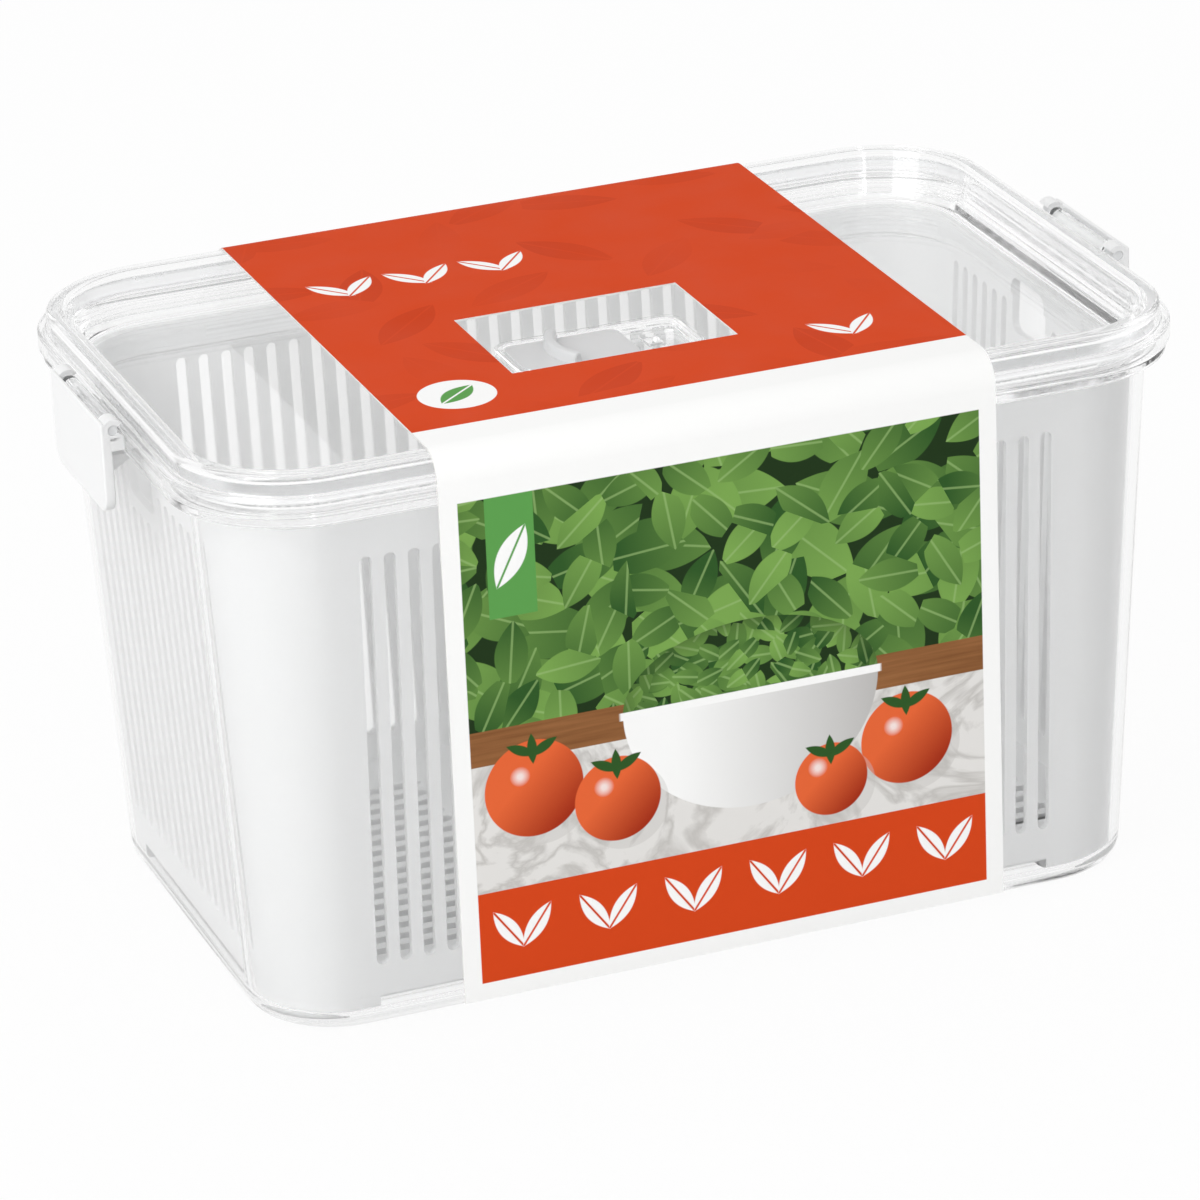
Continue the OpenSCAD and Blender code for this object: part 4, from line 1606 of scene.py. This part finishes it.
@dataclass
class Sleeve:
    """Card sleeve over the lid and down both long sides, with a window over the vent."""

    low_x: float
    high_x: float
    foot_z: float
    top: float
    half_y: float
    card_t: float = 0.5
    lean: float = 0.8
    crease_z: float = 139.5
    shoulder_r: float = 7.5
    window_x: float = -8.5
    window_y: float = -20.5
    window_l: float = 58.0
    window_w: float = 41.0

    def build(self) -> BMesh:
        """Returns the sleeve's mesh, with the print on material 0 and bare board on material 1."""
        bm = bmesh.new()
        toe = self.half_y - self.lean
        path = [(-toe, self.foot_z), (-self.half_y, self.crease_z), (-self.half_y, self.top),
                (self.half_y, self.top), (self.half_y, self.crease_z), (toe, self.foot_z)]
        verts = [bm.verts.new((self.low_x, y, z)) for y, z in path]
        edges = [bm.edges.new(pair) for pair in zip(verts, verts[1:])]
        made = bmesh.ops.extrude_edge_only(bm, edges=edges)["geom"]
        far = [item for item in made if isinstance(item, BMVert)]
        bmesh.ops.translate(bm, vec=Vector((self.high_x - self.low_x, 0, 0)), verts=far)
        shoulders = [edge for edge in bm.edges if all(abs(vert.co.z - self.top) < NEAR for vert in edge.verts)
                     and abs(edge.verts[0].co.y - edge.verts[1].co.y) < NEAR]
        soften(bm, shoulders, self.shoulder_r, 10)
        bmesh.ops.recalc_face_normals(bm, faces=bm.faces)
        if sum(face.normal.z * face.calc_area() for face in bm.faces) < 0:
            bmesh.ops.reverse_faces(bm, faces=bm.faces)
        self.cut_window(bm)
        printed = set(bm.faces)
        bmesh.ops.solidify(bm, geom=bm.faces[:], thickness=self.card_t)
        for face in bm.faces:
            face.material_index = 0 if face in printed else 1
        return bm

    def cut_window(self, bm: BMesh) -> None:
        """Cuts the window out of the top."""
        low = (self.window_x - self.window_l / 2, self.window_y - self.window_w / 2)
        high = (self.window_x + self.window_l / 2, self.window_y + self.window_w / 2)

        def on_top(face: BMFace) -> bool:
            """Says whether a face lies in the top."""
            return face.normal.z > FLAT

        for axis in (0, 1):
            slice_at(bm, axis, [low[axis], high[axis]], on_top)
        inner = faces_in(bm, on_top, low, high)
        bmesh.ops.delete(bm, geom=inner, context="FACES_ONLY")

    def dress(self, printed: Material, board: Material) -> None:
        """Builds the sleeve in printed card."""
        finish_piece(self.build(), "sleeve_card", "sleeve", "sleeve", [printed, board])


# Studio


@dataclass
class Lamp:
    """One soft box, aimed at the middle of the object."""

    name: str
    place: Point
    width: float
    height: float
    power: float

    def light(self, aim: Vector) -> None:
        """Adds the lamp, aimed at a point in metres."""
        data = bpy.data.lights.new(self.name, "AREA")
        data.shape = "RECTANGLE"
        data.size = self.width
        data.size_y = self.height
        data.energy = self.power
        lamp = add_object(self.name, data)
        lamp.location = self.place
        lamp.rotation_euler = (aim - Vector(self.place)).to_track_quat("-Z", "Y").to_euler()


@dataclass
class Studio:
    """White floor and backdrop, soft boxes and the camera at the photograph's angle."""

    aim: Point = (-0.0030, 0.0, 0.0696)
    distance: float = 1.549
    azimuth: float = -20.0
    elevation: float = 22.75
    roll: float = -2.62
    lens: float = 185.6
    floor_half: float = 6.0
    floor_color: Color = (0.9, 0.9, 0.9, 1.0)
    floor_seen: Point = (0.94, 0.75, 0.6)
    sky_seen: Point = (1.0, 1.0, 1.0)
    sky_low: float = 0.3
    sky_high: float = 0.9
    sky_dim: float = 0.85
    ambient: float = 0.74
    bounces: int = 64
    dull_bounces: int = 10
    lamps: tuple[Lamp, ...] = (
        Lamp("key_lamp", (-1.25, -0.65, 1.0), 1.0, 1.0, 9.5),
        Lamp("front_strip", (-0.25, -1.9, 0.6), 0.12, 1.0, 2.0),
        Lamp("right_lamp", (1.6, 0.5, 1.0), 0.9, 1.2, 2.5))

    def seen(self, board: Board, shares: Point) -> Socket:
        """Returns how much a ray sees of the white background itself.

        Args:
            board: Board of the material or world.
            shares: Share for rays straight from the camera, for mirrored rays and for rays through glass.

        Returns:
            The share, 0 for a ray that only carries light to a dull surface.
        """
        path = board.add("ShaderNodeLightPath").outputs
        share: Value = 0.0
        for ray, amount in zip(("Is Camera Ray", "Is Glossy Ray", "Is Transmission Ray"), shares):
            share = board.math("MAXIMUM", share, board.math("MULTIPLY", path[ray], amount))
        undimmed = board.math("LESS_THAN", path["Diffuse Depth"], 0.5)
        return board.math("MULTIPLY", share, undimmed)

    def set_floor(self) -> None:
        """Lays the white floor, which keeps the object's shadow."""
        bm = bmesh.new()
        bmesh.ops.create_grid(bm, x_segments=1, y_segments=1, size=self.floor_half)
        floor = add_object("floor", to_mesh(bm, "floor"))
        material, board = new_material("studio_floor")
        plain = board.add("ShaderNodeBsdfDiffuse", {"Color": self.floor_color})
        white = board.add("ShaderNodeEmission", {"Color": WHITE, "Strength": 1.0})
        share = self.seen(board, self.floor_seen)
        mixed = board.add("ShaderNodeMixShader", {0: share, 1: plain.outputs[0], 2: white.outputs[0]})
        board.feed(material.node_tree.nodes["Material Output"].inputs["Surface"], mixed.outputs[0])
        floor.data.materials.append(material)

    def set_world(self) -> None:
        """Makes the surroundings white to the eye, greyer overhead in glass, and a mild light elsewhere."""
        world = bpy.data.worlds.new("studio_world")
        bpy.context.scene.world = world
        world.use_nodes = True
        board = Board(world.node_tree)
        way = board.add("ShaderNodeSeparateXYZ", {0: board.add("ShaderNodeTexCoord").outputs["Generated"]})
        sky = board.spread(way.outputs[2], self.sky_low, self.sky_high, 1.0, self.sky_dim)
        share = self.seen(board, self.sky_seen)
        strength = board.add("ShaderNodeMix", {0: share, 2: self.ambient, 3: sky}, data_type="FLOAT")
        backdrop = world.node_tree.nodes["Background"]
        backdrop.inputs["Color"].default_value = WHITE
        board.feed(backdrop.inputs["Strength"], strength.outputs[0])

    def set_camera(self) -> None:
        """Places the camera."""
        turn, lift, roll = (math.radians(angle) for angle in (self.azimuth, self.elevation, self.roll))
        ahead = Vector((-math.cos(lift) * math.sin(turn), math.cos(lift) * math.cos(turn), -math.sin(lift)))
        level = Vector((math.cos(turn), math.sin(turn), 0))
        upright = level.cross(ahead)
        right = level * math.cos(roll) + upright * math.sin(roll)
        up = upright * math.cos(roll) - level * math.sin(roll)
        data = bpy.data.cameras.new("camera")
        data.lens = self.lens
        camera = add_object("camera", data)
        place = Vector(self.aim) - ahead * self.distance
        camera.matrix_world = Matrix.Translation(place) @ Matrix((right, up, -ahead)).transposed().to_4x4()
        bpy.context.scene.camera = camera

    def set_up(self) -> None:
        """Builds the whole studio."""
        scene = bpy.context.scene
        scene.view_settings.view_transform = "Standard"
        for kind in ("max_bounces", "transmission_bounces", "transparent_max_bounces", "glossy_bounces"):
            setattr(scene.cycles, kind, self.bounces)
        scene.cycles.diffuse_bounces = self.dull_bounces
        self.set_floor()
        self.set_world()
        for lamp in self.lamps:
            lamp.light(Vector(self.aim))
        self.set_camera()


def main() -> None:
    """Builds every piece, the studio and the camera."""
    surface = moulded_group()
    clear = Moulding("clear_plastic", (0.994, 0.996, 0.996, 1), (0.999, 0.999, 0.999, 1),
                     Texture(0.015, 0.05, flow=18.0, bump=0.003), ior=1.45,
                     transmission=1.0).material(surface)
    white = Moulding("white_plastic", (0.86, 0.865, 0.865, 1), (0.89, 0.89, 0.89, 1),
                     Texture(0.3, 0.42)).material(surface)
    grey = Moulding("grey_plastic", (0.73, 0.74, 0.745, 1), (0.78, 0.785, 0.79, 1),
                    Texture(0.3, 0.45)).material(surface)
    silicone = Moulding("clear_silicone", (0.96, 0.965, 0.97, 1), (0.98, 0.98, 0.985, 1),
                        Texture(0.2, 0.35), ior=1.25, transmission=1.0).material(surface)
    board = Moulding("bare_board", srgb("F2F1EE"), srgb("F7F6F4"),
                     Texture(0.75, 0.9, grain=2500.0, flow=160.0, bump=0.3), sheer=0.94).material(surface)
    printed = Print().material(surface)

    tub_high = node_box("tub")[1]
    basket_low, basket_high = node_box("basket")
    lid_low, lid_high = node_box("lid")
    seal_low, seal_high = node_box("lid_seal")
    slider_low, slider_high = node_box("vent_slider")
    pad_low, pad_high = node_box("vent_seal")
    sleeve_low, sleeve_high = node_box("sleeve")
    core_x, core_y = tub_high.x - Tub.flange_reach, tub_high.y - Tub.flange_reach
    plan = Plan(core_x, core_y, lid_high.z, foot_shift=-1.5, top_shift=2.5)
    basket_plan = Plan(core_x, core_y, lid_high.z, foot_shift=1.2, top_shift=2.6)
    hinge = Hinge()

    Tub(plan, tub_high.z).dress(clear)
    Basket(basket_plan, basket_low.z, basket_high.z).dress(white)
    Lid(plan, hinge, lid_high.z, lid_low.z).dress(clear, grey)
    LidSeal(plan, seal_low.z, seal_high.z).dress(silicone)
    for end in End:
        Latch(end, hinge).dress(white)
    Vent(slider_low.x, slider_high.x, pad_low.z, pad_high.z).dress(grey, silicone)
    Sleeve(sleeve_low.x, sleeve_high.x, sleeve_low.z, sleeve_high.z, sleeve_high.y).dress(printed, board)
    Studio().set_up()


if __name__ == "__main__":
    logging.basicConfig(level=logging.INFO, format="%(name)s %(message)s")
    main()
